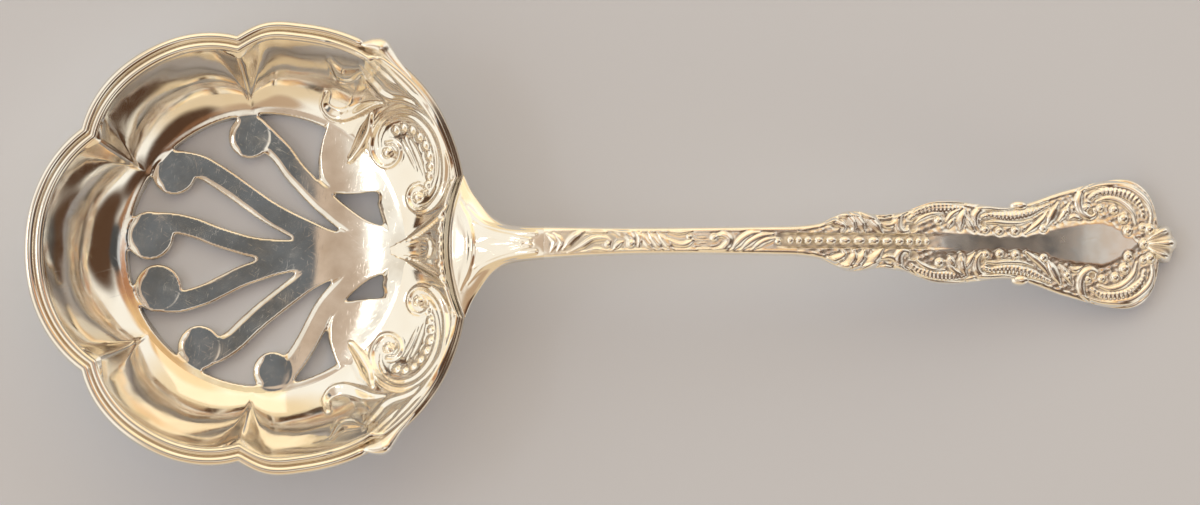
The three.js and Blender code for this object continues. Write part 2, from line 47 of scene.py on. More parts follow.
# Camera: above the bowl, tipped a little towards the near side, as in the photo
photoCamera = {
    "distance": 320.0,
    "lens": 92.2,
    "sensor": 36.0,
    "elevation": 86.1,
    "roll": 0.6,
    "aimX": -0.9,
    "aimY": -0.2,
}


def makeCamera(settings):
    tilt = math.radians(settings["elevation"])
    roll = math.radians(settings["roll"])
    back = Vector((0, -math.cos(tilt), math.sin(tilt)))
    level = Vector((1, 0, 0))
    upright = back.cross(level)
    right = level * math.cos(roll) - upright * math.sin(roll)
    up = level * math.sin(roll) + upright * math.cos(roll)
    data = bpy.data.cameras.new("photoCamera")
    data.lens = settings["lens"]
    data.sensor_width = settings["sensor"]
    data.clip_start = 0.01
    camera = bpy.data.objects.new("photoCamera", data)
    bpy.context.scene.collection.objects.link(camera)
    aim = Vector((settings["aimX"], settings["aimY"], 0)) * mm
    turn = Matrix((right, up, back)).transposed().to_4x4()
    camera.matrix_world = Matrix.Translation(aim + back * settings["distance"] * mm) @ turn
    bpy.context.scene.camera = camera


makeCamera(photoCamera)
print("camera ready")


# Colours and nodes

def toLinear(hexColour):
    # an sRGB hex value as linear red, green, blue and alpha
    parts = [int(hexColour[i:i + 2], 16) / 255 for i in (1, 3, 5)]
    return [p / 12.92 if p <= 0.04045 else ((p + 0.055) / 1.055) ** 2.4 for p in parts] + [1.0]


def addNode(tree, kind, links=None, **settings):
    # one node with its settings; each link is a socket to join or a value to set
    node = tree.nodes.new(kind)
    for name, value in settings.items():
        setattr(node, name, value)
    for name, value in (links or {}).items():
        if isinstance(value, bpy.types.NodeSocket):
            tree.links.new(value, node.inputs[name])
        else:
            node.inputs[name].default_value = value
    return node


def silverMaterial(name, look):
    # Sterling silver: a bright mirror, toned where cloths miss it, with fine wear
    material = bpy.data.materials.new(name)
    material.use_nodes = True
    tree = material.node_tree
    shader = tree.nodes["Principled BSDF"]
    place = addNode(tree, "ShaderNodeTexCoord").outputs["Object"]

    # Toning drifts over the surface and gathers in the hollows of the relief
    drift = addNode(tree, "ShaderNodeTexNoise", {
        "Vector": place, "Scale": 1 / (look["toneSize"] * mm), "Detail": 3.0, "Roughness": 0.55,
    })
    driftShare = addNode(tree, "ShaderNodeMapRange", {
        "Value": drift.outputs["Fac"], "From Min": 0.35, "From Max": 0.7,
        "To Min": 0.0, "To Max": look["toneShare"],
    })
    toned = addNode(tree, "ShaderNodeMix", {
        "Factor": driftShare.outputs["Result"], "A": toLinear(look["bright"]), "B": toLinear(look["toned"]),
    }, data_type="RGBA")
    raised = addNode(tree, "ShaderNodeAttribute", attribute_name="raised")
    hollow = addNode(tree, "ShaderNodeMapRange", {
        "Value": raised.outputs["Fac"], "From Min": 0.1, "From Max": 0.5, "To Min": 1.0, "To Max": 0.0,
    })
    hollowTone = addNode(tree, "ShaderNodeMath", {
        0: hollow.outputs["Result"], 1: look["hollowShare"],
    }, operation="MULTIPLY")
    colour = addNode(tree, "ShaderNodeMix", {
        "Factor": hollowTone.outputs["Value"], "A": toned.outputs["Result"], "B": toLinear(look["hollow"]),
    }, data_type="RGBA")
    tree.links.new(colour.outputs["Result"], shader.inputs["Base Color"])

    # Smudges dull the polish in patches, and no cloth reaches the hollows
    smudge = addNode(tree, "ShaderNodeTexNoise", {
        "Vector": place, "Scale": 1 / (look["smudgeSize"] * mm), "Detail": 5.0, "Roughness": 0.6,
    })
    polish = addNode(tree, "ShaderNodeMapRange", {
        "Value": smudge.outputs["Fac"], "From Min": 0.3, "From Max": 0.75,
        "To Min": look["roughness"], "To Max": look["roughness"] + look["smudge"],
    })
    dull = addNode(tree, "ShaderNodeMath", {
        0: hollow.outputs["Result"], 1: look["hollowDull"], 2: polish.outputs["Result"],
    }, operation="MULTIPLY_ADD")
    tree.links.new(dull.outputs["Value"], shader.inputs["Roughness"])

    # Hammer and buff marks ripple the mirror; hairline scratches run several ways
    ripple = addNode(tree, "ShaderNodeTexNoise", {
        "Vector": place, "Scale": 1 / (look["rippleSize"] * mm), "Detail": 1.0,
    })
    wavy = addNode(tree, "ShaderNodeBump", {
        "Height": ripple.outputs["Fac"], "Strength": 1.0, "Distance": look["ripple"] * mm,
    })
    normal = wavy.outputs["Normal"]
    for turn in look["scratchTurns"]:
        combed = addNode(tree, "ShaderNodeMapping", {
            "Vector": place, "Rotation": (0, 0, math.radians(turn)),
            "Scale": (look["scratchLength"] * mm, look["scratchGap"] * mm, look["scratchLength"] * mm),
        }, vector_type="TEXTURE")
        hairs = addNode(tree, "ShaderNodeTexNoise", {
            "Vector": combed.outputs["Vector"], "Scale": 1.0, "Detail": 2.0, "Roughness": 0.7,
        })
        cut = addNode(tree, "ShaderNodeMapRange", {
            "Value": hairs.outputs["Fac"], "From Min": 0.64, "From Max": 0.74, "To Min": 0.0, "To Max": 1.0,
        })
        scratch = addNode(tree, "ShaderNodeBump", {
            "Height": cut.outputs["Result"], "Normal": normal,
            "Strength": 1.0, "Distance": look["scratch"] * mm,
        }, invert=True)
        normal = scratch.outputs["Normal"]
    tree.links.new(normal, shader.inputs["Normal"])
    shader.inputs["Metallic"].default_value = 1.0
    return material


# Hand-polished sterling: soft champagne mirror, slightly wavy
polishedSilver = silverMaterial("polishedSterlingSilver", {
    "bright": "#f8f5ee", "toned": "#f0e6d6", "toneShare": 0.8, "toneSize": 9.0,
    "hollow": "#c0aa8c", "hollowShare": 0.4, "hollowDull": 0.1,
    "roughness": 0.06, "smudge": 0.09, "smudgeSize": 2.4,
    "rippleSize": 4.5, "ripple": 0.11,
    "scratchTurns": (20, -50), "scratchLength": 5.0, "scratchGap": 0.12, "scratch": 0.0012,
})
# Sawn spray of the floor, filed by hand: the same sheet, more scratched
piercedSilver = silverMaterial("sawnSheetSilver", {
    "bright": "#f6f4ef", "toned": "#dad2c6", "toneShare": 0.9, "toneSize": 4.0,
    "hollow": "#c0a888", "hollowShare": 0.5, "hollowDull": 0.1,
    "roughness": 0.05, "smudge": 0.1, "smudgeSize": 1.6,
    "rippleSize": 5.0, "ripple": 0.07,
    "scratchTurns": (35, -30, 80), "scratchLength": 1.6, "scratchGap": 0.13, "scratch": 0.0014,
})
# Die-struck relief: bright worn tops, softly dull all over, over toned hollows
reliefSilver = silverMaterial("struckReliefSilver", {
    "bright": "#fffdf7", "toned": "#f9f1e3", "toneShare": 0.7, "toneSize": 6.0,
    "hollow": "#cec0aa", "hollowShare": 0.45, "hollowDull": 0.2,
    "roughness": 0.17, "smudge": 0.12, "smudgeSize": 2.0,
    "rippleSize": 3.0, "ripple": 0.03,
    "scratchTurns": (10, -35), "scratchLength": 4.0, "scratchGap": 0.12, "scratch": 0.0012,
})
print("materials ready")


# Shape helpers, on numpy arrays of millimetres

def curveThrough(pairs):
    # a smooth curve through (place, value) pairs, read at any places
    places, values = np.array(pairs, float).T
    slopes = np.gradient(values, places)

    def read(at):
        at = np.clip(at, places[0], places[-1])
        i = np.clip(np.searchsorted(places, at) - 1, 0, len(places) - 2)
        step = places[i + 1] - places[i]
        t = (at - places[i]) / step
        rise = values[i] + (values[i + 1] - values[i]) * (3 - 2 * t) * t ** 2
        return rise + slopes[i] * step * t * (1 - t) ** 2 - slopes[i + 1] * step * t ** 2 * (1 - t)
    return read


def mix(a, b, share):
    return a + (b - a) * share


def ease(value, low, high):
    t = np.clip((value - low) / (high - low), 0, 1)
    return t * t * (3 - 2 * t)


def ripples(x, y, waves):
    # sines added up, each as radians per mm along x and along y, and where it starts
    return sum(np.sin(alongX * x + alongY * y + start) for alongX, alongY, start in waves)


def smoothLine(points, spacing=0.07):
    # a smooth line through given points, as close points with the length run so far
    points = np.array(points, float)
    ends = np.vstack([2 * points[0] - points[1], points, 2 * points[-1] - points[-2]])
    parts = []
    for p0, p1, p2, p3 in zip(ends, ends[1:], ends[2:], ends[3:]):
        count = max(int(np.linalg.norm(p2 - p1) / spacing), 2)
        t = np.linspace(0, 1, count, endpoint=False)[:, None]
        parts.append(0.5 * (2 * p1 + (p2 - p0) * t + (2 * p0 - 5 * p1 + 4 * p2 - p3) * t ** 2
                            + (3 * p1 - p0 - 3 * p2 + p3) * t ** 3))
    line = np.vstack(parts + [points[-1:]])
    run = np.concatenate([[0], np.cumsum(np.linalg.norm(np.diff(line, axis=0), axis=1))])
    return line, run


strokeForm = {
    "margin": 1.0,  # a ridge is worked out this far past its line
    "taper": 0.35,  # share of the run over which an end swells to full width
    "endHeight": 0.4,  # share of the height that is left where the width is gone
    "toothDepth": 0.4,  # depth of the cuts across a hatched ridge, as a share
    "toothEdge": 6,  # how sharply the cuts stop at its edges
}


class Relief:
    # Raised work over a field of points seen from above: its tops, its pits and how far off its edge is

    def __init__(self, x, y):
        self.x = x
        self.y = y
        self.top = np.zeros(x.shape)
        self.low = np.zeros(x.shape)
        self.clear = np.full(x.shape, 9.0)

    def stroke(self, line, width, height, start=0.35, end=0.35, lean=0.0, soft=1.0, hatch=0.0):
        # a ridge along the points of a line: start and end are shares of its width, lean moves its crest
        # towards the left, soft below 1 fills it out, and hatch cuts it across at that spacing
        f = strokeForm
        line, run = smoothLine(line)
        along = np.gradient(line, axis=0)
        along /= np.linalg.norm(along, axis=1, keepdims=True)
        low = line.min(axis=0) - f["margin"]
        high = line.max(axis=0) + f["margin"]
        near = (self.x > low[0]) & (self.x < high[0]) & (self.y > low[1]) & (self.y < high[1])
        x = self.x[near]
        y = self.y[near]
        best = np.full(x.shape, 1e6)
        share = np.zeros(x.shape)
        side = np.zeros(x.shape)
        for (px, py), (ax, ay), t in zip(line, along, run):
            dx = x - px
            dy = y - py
            distance = dx ** 2 + dy ** 2
            closer = distance < best
            best[closer] = distance[closer]
            share[closer] = t
            side[closer] = (ax * dy - ay * dx)[closer]
        best = np.sqrt(best)
        t = share / run[-1]
        swell = np.minimum(mix(start, 1, ease(t, 0, f["taper"])), mix(end, 1, ease(1 - t, 0, f["taper"])))
        reach = width / 2 * swell
        ratio = np.clip(best / reach, 0, 1)
        across = 0.5 + 0.5 * np.sign(side) * ratio
        rise = height * mix(f["endHeight"], 1, swell) * np.sin(np.pi * across ** math.exp(lean)) ** soft
        if hatch:
            teeth = 0.5 - 0.5 * np.cos(2 * np.pi * share / hatch)
            rise = rise * mix(1, 1 - f["toothDepth"] * (1 - teeth), 1 - ratio ** f["toothEdge"])
        self.top[near] = np.maximum(self.top[near], rise)
        self.clear[near] = np.minimum(self.clear[near], best - reach)

    def bead(self, x, y, radius, height, stretch=1.0):
        distance = np.hypot((self.x - x) / stretch, self.y - y)
        ratio = np.clip(distance / radius, 0, 1)
        self.top = np.maximum(self.top, height * np.sqrt(1 - ratio ** 2))
        self.clear = np.minimum(self.clear, distance - radius)

    def pit(self, x, y, radius, depth):
        ratio = np.clip(np.hypot(self.x - x, self.y - y) / radius, 0, 1)
        self.low = np.maximum(self.low, depth * (1 - ratio ** 2))

    def strokes(self, work):
        # the ridges of one ornament, higher the wider they are
        for item in work["strokes"]:
            hatch = item.get("hatch", 0.0)
            self.stroke(
                item["line"], item["width"] * work["fullness"],
                work["height"] + item["width"] * work["heightByWidth"], work["start"], work["end"],
                lean=item.get("lean", 0.0), hatch=hatch, soft=work["hatchSoft"] if hatch else work["soft"],
            )

    def height(self, valley, spread=0.14):
        # the finished surface, with a struck valley along every edge
        return self.top - self.low - valley * np.exp(-(np.maximum(self.clear, 0) / spread) ** 2)


def shadeOf(height, scale):
    # 0 in hollows to 1 on tops, for the toning, with the plain surface just past the middle
    return np.clip(0.55 + height / scale, 0, 1)


# Mesh helpers

def gridPiece(columns, rows, points, raised):
    # a grid laid over points of shape (columns + 1, rows + 1, 3), merged where its edges meet
    bm = bmesh.new()
    bmesh.ops.create_grid(bm, x_segments=columns, y_segments=rows, size=0.5)
    layer = bm.verts.layers.float.new("raised")
    for v in bm.verts:
        column = round((v.co.x + 0.5) * columns)
        row = round((v.co.y + 0.5) * rows)
        v.co = points[column, row] * mm
        v[layer] = raised[column, row]
    bmesh.ops.remove_doubles(bm, verts=bm.verts, dist=1e-6)
    bmesh.ops.recalc_face_normals(bm, faces=bm.faces)
    return bm


def finishPiece(name, bm, material, slotName, *nodes):
    for face in bm.faces:
        face.smooth = True
    mesh = bpy.data.meshes.new(name)
    bm.to_mesh(mesh)
    bm.free()
    mesh.materials.append(material)
    piece = bpy.data.objects.new(name, mesh)
    bpy.context.scene.collection.objects.link(piece)
    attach(piece, "root")
    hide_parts(*nodes)
    print(name, len(mesh.vertices), "vertices")


def nodeBox(node):
    low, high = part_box(node)
    return low / mm, high / mm


# Bowl

tipX = nodeBox("rim_bead")[0].x
rimTop = nodeBox("rim_bead")[1].z
sheet = nodeBox("pierced_spray")[1].z

bowlShape = {
    "tipReach": 22.7,  # bowl centre to the tip
    "heelReach": 20.1,  # and to the seam with the neck
    "lobeReach": 24.0,  # fullest part of the border
    "sideCusp": 93.0,  # degrees from the handle's side to the cusps
    "tipCusp": 144.0,
    "sideCuspReach": 21.6,
    "tipCuspReach": 20.9,
    "fluteRound": 2.4,  # how squarely a flute's border swells between its cusps
    "leafTip": 56.0,  # degrees, where the reeded border ends
    "borderBlend": 2.0,  # degrees to each side over which it takes on the shoulder's section
    "opening": 14.1,  # radius of the sawn opening
    "openingShift": (0.5, 0.4),  # it is sawn a little off the bowl's centre
    "lobeEnd": 58.5,  # degrees, where the floor lobes meet it
    "lobeTurn": 3.0,  # degrees that the floor lobes are sawn askew
    "lip": -0.15,  # the wall starts to turn up this far from the opening
    "fluteRoot": 0.08,
    "firstSlope": 0.1,  # slope at the wall's foot
    "firstSpan": (55, 75),  # degrees over which it sets in
    "tipSlope": 0.16,  # more than that round the tip
    "tipSpan": (95, 130),
    "wallTurn": 70.0,  # degrees that a flute's wall has turned up by at its top
    "shoulderTurn": 40.0,
    "turnSpan": (45, 80),
    "rimWidth": 1.9,
    "shoulderRim": 1.3,
    "rimDrop": 0.38,  # rim to the top of the wall
    "neckWidth": 14.6,
    "heelCurve": 1.5,
    "heelDip": 2.0,  # the rim lies this much lower at the seam
    "heelDipSpan": (15, 42),  # degrees over which it rises again
    "beadSize": 1.0,
    "dishStart": 4.1,  # the floor dishes up towards the heel from here
    "dishBow": (0.01, 0.018),  # and sooner at the left and right, by this much per mm squared
    "dish": 0.024,
    "dishSoft": 1.6,
    "foldRise": 0.45,  # fold at each cusp, with its half width in degrees at the foot and how much it gains
    "foldWidth": 1.2,
    "foldSpread": 5.0,
    "floorGap": 0.02,  # the back of the bowl stays this far off the flat underside
    "shade": 0.3,  # relief that is fully toned or fully bright
    "groove": 0.45,  # toning in the groove inside the reed
}
centreX = tipX + bowlShape["tipReach"]

# How the bowl is divided: sections round it, and stations from the floor over the rim and back under it
bowlMesh = {
    "sections": 540,
    "reliefUpTo": 70,  # degrees from the handle's side
    "reliefStep": 0.42,
    "cuspWithin": 4,
    "cuspStep": 0.4,
    "plainStep": 1.2,
    "floorSteps": 18,
    "wallSteps": 80,
    "outerSteps": 24,
    "reliefEnds": (2, 9),  # stations past the wall's top over which the relief dies out
    "groove": (7, 13),  # stations of the groove inside the reed
}

# Sections of the border as (inward from the edge, down from the rim)
reededEdge = [
    (1.9, 0.38), (1.84, 0.2), (1.74, 0.08), (1.6, 0.01), (1.45, 0.0), (1.3, 0.03), (1.18, 0.1),
    (1.08, 0.22), (1.0, 0.36), (0.94, 0.5), (0.8, 0.62), (0.5, 0.66), (0.2, 0.66), (0.04, 0.8),
    (0.0, 1.05), (0.3, 1.5),
]
shoulderEdge = [
    (1.3, 0.38), (1.2, 0.24), (1.1, 0.13), (1.0, 0.05), (0.9, 0.0), (0.78, 0.0), (0.68, 0.05),
    (0.6, 0.13), (0.52, 0.21), (0.4, 0.26), (0.25, 0.3), (0.12, 0.38), (0.04, 0.52), (0.0, 0.75),
    (0.05, 1.1), (0.2, 1.5),
]


def fromHeel(degrees):
    return np.abs((degrees + 180) % 360 - 180)


def seamReach(degrees):
    # the seam with the neck is a shallow bow
    s = bowlShape
    bow = s["heelCurve"] * np.sin(np.radians(degrees)) ** 2 / (s["neckWidth"] / 2) ** 2 + 1e-9
    along = np.cos(np.radians(degrees))
    return (along - np.sqrt(np.maximum(along ** 2 - 4 * bow * s["heelReach"], 0))) / (2 * bow)


earReach = bowlShape["heelReach"] + bowlShape["heelCurve"]
earAngle = math.degrees(math.atan2(bowlShape["neckWidth"] / 2, earReach))
shoulderReach = curveThrough([
    (earAngle, float(seamReach(earAngle))),
    (earAngle + 9.5, bowlShape["lobeReach"] * 0.975),
    (bowlShape["leafTip"] - 16, bowlShape["lobeReach"]),
    (bowlShape["leafTip"] + 6, bowlShape["lobeReach"]),
    (bowlShape["sideCusp"] - 17, mix(bowlShape["sideCuspReach"], bowlShape["lobeReach"], 0.77)),
    (bowlShape["sideCusp"] - 7, mix(bowlShape["sideCuspReach"], bowlShape["lobeReach"], 0.54)),
    (bowlShape["sideCusp"], bowlShape["sideCuspReach"]),
])


def fluteReach(t, start, end):
    swell = bowlShape["tipReach"] - (start + end) / 2
    return mix(start, end, t) + swell * (1 - np.abs(2 * t - 1) ** bowlShape["fluteRound"])


def borderReach(degrees):
    s = bowlShape
    angle = fromHeel(degrees)
    tipShare = (angle - s["tipCusp"]) / (360 - 2 * s["tipCusp"])
    sideShare = (angle - s["sideCusp"]) / (s["tipCusp"] - s["sideCusp"])
    tipFlute = fluteReach(tipShare, s["tipCuspReach"], s["tipCuspReach"])
    sideFlute = fluteReach(np.clip(sideShare, 0, 1), s["sideCuspReach"], s["tipCuspReach"])
    reach = np.where(angle >= s["sideCusp"], sideFlute, shoulderReach(angle))
    reach = np.where(angle >= s["tipCusp"], tipFlute, reach)
    return np.where(angle < earAngle, seamReach(np.minimum(angle, earAngle)), reach)


# Reach of the sawn edge over the heel: straight past the bars' roots, then round a lobe
lobeEdge = curveThrough([
    (0, 13.4), (18, 13.3), (24, 13.45), (26, 12.4), (29.5, 11.15), (35, 10.0), (41, 9.6), (48, 10.0),
    (52, 10.75), (55.5, 11.9), (57.3, 13.1), (bowlShape["lobeEnd"], 14.4),
])


def openingReach(degrees):
    turn = np.radians(degrees)
    shiftX, shiftY = bowlShape["openingShift"]
    return bowlShape["opening"] + shiftX * np.cos(turn) + shiftY * np.sin(turn)


def floorEdge(degrees):
    askew = fromHeel(degrees - bowlShape["lobeTurn"])
    opening = openingReach(degrees)
    return np.where(askew < bowlShape["lobeEnd"], np.minimum(lobeEdge(askew), opening), opening)


def rimHeight(degrees):
    return rimTop - bowlShape["heelDip"] * (1 - ease(fromHeel(degrees), *bowlShape["heelDipSpan"]))


def reededShare(degrees):
    # 1 along the reeded border and 0 along the shoulders
    s = bowlShape
    return ease(fromHeel(degrees), s["leafTip"] - s["borderBlend"], s["leafTip"] + s["borderBlend"])


def wallFoot(degrees):
    s = bowlShape
    return openingReach(degrees) + s["lip"] + s["fluteRoot"] * (borderReach(degrees) - s["tipCuspReach"])


def dish(x, y):
    # rise of the floor towards the heel, from the bowl's centre
    s = bowlShape
    left, right = s["dishBow"]
    start = s["dishStart"] - np.where(y > 0, left, right) * y ** 2
    past = np.maximum(x - start + s["dishSoft"] / 2, 0)
    return s["dish"] * past ** 3 / (past + s["dishSoft"])


def wallShape(degrees):
    # where the wall of each section starts and ends, and how far it leans there
    s = bowlShape
    angle = fromHeel(degrees)
    foot = wallFoot(degrees)
    top = borderReach(degrees) - mix(s["shoulderRim"], s["rimWidth"], reededShare(degrees))
    across = np.cos(np.radians(degrees))
    outward = np.sin(np.radians(degrees))
    low = sheet + dish(foot * across, foot * outward)
    high = rimHeight(degrees) - s["rimDrop"]
    step = 0.3  # the floor's own slope is taken over this length
    slope = (low - sheet - dish((foot - step) * across, (foot - step) * outward)) / step
    slope += s["firstSlope"] * ease(angle, *s["firstSpan"])
    slope += s["tipSlope"] * ease(angle, *s["tipSpan"])
    turn = np.radians(mix(s["shoulderTurn"], s["wallTurn"], ease(angle, *s["turnSpan"])))
    share = np.minimum(slope * (top - foot) / (high - low), 0.95)
    first = turn * share / (2 - share)
    return {"foot": foot, "top": top, "low": low, "high": high, "first": first, "turn": turn}


def innerHeight(reach, degrees, wall):
    # height of the inside at a reach from the centre: dished floor, then a wall that curls up
    floor = sheet + dish(reach * np.cos(np.radians(degrees)), reach * np.sin(np.radians(degrees)))
    share = np.clip((reach - wall["foot"]) / (wall["top"] - wall["foot"]), 0, 1)
    lean = np.arcsin(mix(np.sin(wall["first"]), np.sin(wall["turn"]), share))
    climb = (np.cos(wall["first"]) - np.cos(lean)) / (np.cos(wall["first"]) - np.cos(wall["turn"]))
    return np.where(reach < wall["foot"], floor, mix(wall["low"], wall["high"], climb))


def bowlAngles():
    # sections, closest over the relief of the shoulders and at the cusps
    m = bowlMesh
    fine = np.arange(0, 360, 0.02)
    angle = fromHeel(fine)
    density = np.where(angle < m["reliefUpTo"], 1 / m["reliefStep"], 1 / m["plainStep"])
    for cusp in (bowlShape["sideCusp"], bowlShape["tipCusp"]):
        density = np.where(np.abs(angle - cusp) < m["cuspWithin"], 1 / m["cuspStep"], density)
    run = np.concatenate([[0], np.cumsum(density)])
    return np.interp(np.linspace(0, run[-1], m["sections"] + 1), run, np.append(fine, 360.0))


def bowlSections(angles):
    # reach and height of every station round each section, and which station is the wall's top
    s = bowlShape
    m = bowlMesh
    border = borderReach(angles)
    rim = rimHeight(angles)
    wall = wallShape(angles)
    reeded = reededShare(angles)
    # the bowl's own floor starts just past the sawn edge, at the widest of its close neighbours
    edge = np.max([floorEdge(angles + turn) for turn in np.linspace(-4, 4, 17)], axis=0) + 0.4
    start = np.maximum(edge, wall["foot"]) + 0.1
    reaches = [mix(edge, start, i / m["floorSteps"]) for i in range(m["floorSteps"])]
    sineTop = np.sin(wall["turn"])
    sineStart = mix(np.sin(wall["first"]), sineTop, (start - wall["foot"]) / (wall["top"] - wall["foot"]))
    leanStart = np.arcsin(sineStart)
    for i in range(m["wallSteps"]):
        sine = np.sin(mix(leanStart, wall["turn"], i / m["wallSteps"]))
        reaches.append(mix(start, wall["top"], (sine - sineStart) / (sineTop - sineStart)))
    stations = [(reach, innerHeight(reach, angles, wall)) for reach in reaches]
    for (inA, downA), (inB, downB) in zip(shoulderEdge, reededEdge):
        stations.append((border - mix(inA, inB, reeded), rim - mix(downA, downB, reeded)))
    outerReach, outerHeight = stations[-1]
    back = wall["low"] - sheet + s["floorGap"]
    for i in range(m["outerSteps"] - 1, -1, -1):
        lean = wall["turn"] * i / m["outerSteps"]
        stations.append((
            mix(wall["foot"], outerReach, np.sin(lean) / sineTop),
            mix(back, outerHeight, (1 - np.cos(lean)) / (1 - np.cos(wall["turn"]))),
        ))
    under = stations[0][1] - sheet + s["floorGap"]
    stations = [(edge, under)] + stations + [(edge, under)]
    reach = np.array([r for r, _ in stations]).T
    height = np.array([h + 0 * border for _, h in stations]).T
    wallTop = m["floorSteps"] + 1 + m["wallSteps"]
    return reach, height, wallTop


# Ornament of one shoulder, from the bowl's centre, x towards the handle and y outwards
shoulderWork = {
    "strokes": [
        # main scroll, the line inside it and its two veins
        {"width": 0.75, "height": 0.3, "start": 0.7, "end": 0.7, "line": [
            (13.55, 11.05), (14.35, 11.05), (14.95, 10.3), (14.75, 9.35), (13.95, 8.7), (12.95, 8.75),
            (12.15, 9.6), (11.8, 10.8), (12.1, 12.2), (12.9, 13.4), (14.05, 14.1), (15.35, 14.3),
            (16.7, 13.9), (18.0, 12.85), (19.1, 11.3), (19.6, 9.5), (19.7, 7.8), (19.45, 6.3), (18.8, 5.0),
            (17.8, 4.1), (16.75, 3.95), (15.95, 4.5), (15.7, 5.5), (16.15, 6.4), (17.1, 6.7), (17.9, 6.15)]},
        {"width": 0.5, "height": 0.18, "line": [
            (12.75, 10.7), (12.75, 11.7), (13.3, 12.8), (14.35, 13.4), (15.5, 13.45), (16.7, 12.95),
            (17.8, 11.8), (18.45, 10.5), (18.75, 9.05), (18.7, 7.6), (18.35, 6.4), (17.9, 5.7)]},
        {"width": 0.36, "height": 0.12, "line": [(15.85, 11.35), (16.5, 10.05), (17.0, 8.75), (17.4, 7.45)]},
        {"width": 0.36, "height": 0.12, "line": [(15.2, 11.0), (15.95, 9.6), (16.6, 8.1)]},
        # leaf between the scroll and the lobe, and creases of the lobe
        {"width": 2.1, "height": 0.5, "start": 0.2, "end": 0.7, "lean": 0.8, "line": [
            (11.9, 14.0), (11.4, 12.8), (10.8, 11.7), (10.2, 10.7), (9.6, 9.8)]},
        {"width": 0.4, "height": 0.09, "line": [(8.2, 8.0), (8.9, 7.1), (9.7, 6.4)]},
        {"width": 0.4, "height": 0.09, "line": [(9.5, 9.0), (10.0, 7.9), (10.3, 6.8)]},
        {"width": 0.4, "height": 0.09, "line": [(11.0, 9.0), (11.6, 7.8), (11.9, 6.7)]},
        # curl on the wall, with its fold and its back
        {"width": 1.15, "height": 0.42, "start": 0.4, "end": 0.15, "lean": -0.6, "line": [
            (7.35, 16.4), (7.0, 15.3), (7.7, 14.4), (8.9, 14.1), (10.1, 14.35), (11.4, 14.8), (12.5, 15.0),
            (13.6, 14.95)]},
        {"width": 1.1, "height": 0.22, "line": [(8.0, 19.2), (8.8, 18.1), (9.9, 17.8), (11.2, 18.1)]},
        {"width": 0.8, "height": 0.22, "lean": 0.4, "line": [
            (11.3, 18.3), (11.9, 17.3), (12.8, 16.3), (13.6, 15.1)]},
        # lines that follow the border
        {"width": 0.5, "height": 0.2, "start": 0.4, "end": 0.5, "lean": -0.3, "line": [
            (11.9, 20.0), (13.0, 18.9), (14.4, 17.55), (15.9, 16.0), (17.4, 14.4), (18.8, 12.6),
            (19.75, 10.6), (20.3, 8.45), (20.3, 6.5)]},
        {"width": 0.5, "height": 0.22, "start": 0.4, "end": 0.5, "lean": -0.3, "line": [
            (7.9, 21.0), (9.8, 20.3), (11.8, 19.3), (12.9, 18.2), (14.4, 16.9), (16.0, 15.75),
            (17.45, 14.5), (18.6, 13.0), (19.4, 11.35), (19.9, 9.4)]},
        {"width": 0.6, "height": 0.24, "start": 0.4, "end": 0.5, "lean": -0.3, "line": [
            (11.8, 17.8), (12.75, 16.4), (14.05, 15.45), (15.7, 14.95), (17.15, 14.15), (18.3, 13.0)]},
        {"width": 0.65, "height": 0.28, "start": 0.4, "end": 0.5, "lean": -0.3, "line": [
            (14.4, 0.65), (15.7, 1.1), (17.0, 1.8), (18.3, 2.6), (19.6, 3.65), (20.5, 4.7)]},
        # pointed leaf of the heel: a low swell and its outline
        {"width": 1.7, "height": 0.14, "start": 0.15, "end": 0.9, "line": [(13.2, 0), (15.5, 0), (17.6, 0)]},
        {"width": 0.42, "height": 0.22, "start": 0.4, "end": 1.0, "line": [
            (12.9, 0.0), (14.2, 0.4), (15.6, 0.72), (17.0, 0.98), (17.85, 0.75), (18.1, 0.0)]},
    ],
    # rounds as (x, y, radius), each with its height or depth as shares of the radius or in mm
    "balls": [(13.6, 10.05, 0.56), (16.75, 5.35, 0.5)],
    "ballHeight": 0.8,
    "trefoils": [
        (19.45, 2.45, 0.42), (19.05, 1.85, 0.32), (19.75, 1.75, 0.32), (19.35, 0.95, 0.36), (19.4, 0.0, 0.42),
    ],
    "trefoilHeight": 0.6,
    "eyes": [(14.25, 9.8, 0.42), (17.3, 5.75, 0.38)],
    "eyeDepth": 0.22,
    "beads": [
        (14.5, 12.2), (15.35, 12.35), (16.25, 12.0), (17.0, 11.3), (17.6, 10.4), (18.0, 9.35), (18.1, 8.3),
        (18.0, 7.3), (17.7, 6.45),
    ],
    "beadRadius": 0.38,
    "beadHeight": 0.26,
    "valley": 0.05,
}


def shoulderRelief(x, y):
    work = shoulderWork
    relief = Relief(x, np.abs(y))
    for item in work["strokes"]:
        relief.stroke(**item)
    for x0, y0, radius in work["balls"]:
        relief.bead(x0, y0, radius, radius * work["ballHeight"])
    for x0, y0, radius in work["trefoils"]:
        relief.bead(x0, y0, radius, radius * work["trefoilHeight"])
    for x0, y0, radius in work["eyes"]:
        relief.pit(x0, y0, radius, work["eyeDepth"])
    for x0, y0 in work["beads"]:
        relief.bead(x0, y0, work["beadRadius"], work["beadHeight"])
    return relief.height(work["valley"])


def fluteFolds(angles, run):
    # the fold at each cusp opens towards the rim as a narrow three-sided facet
    s = bowlShape
    angle = fromHeel(angles)[:, None]
    halfWidth = s["foldWidth"] + s["foldSpread"] * ease(run, 0.3, 1.0)
    rise = np.zeros(run.shape)
    for cusp in (s["sideCusp"], s["tipCusp"]):
        rise += s["foldRise"] * ease(run, 0.1, 0.9) * np.clip(1 - np.abs(angle - cusp) / halfWidth, 0, 1)
    return rise


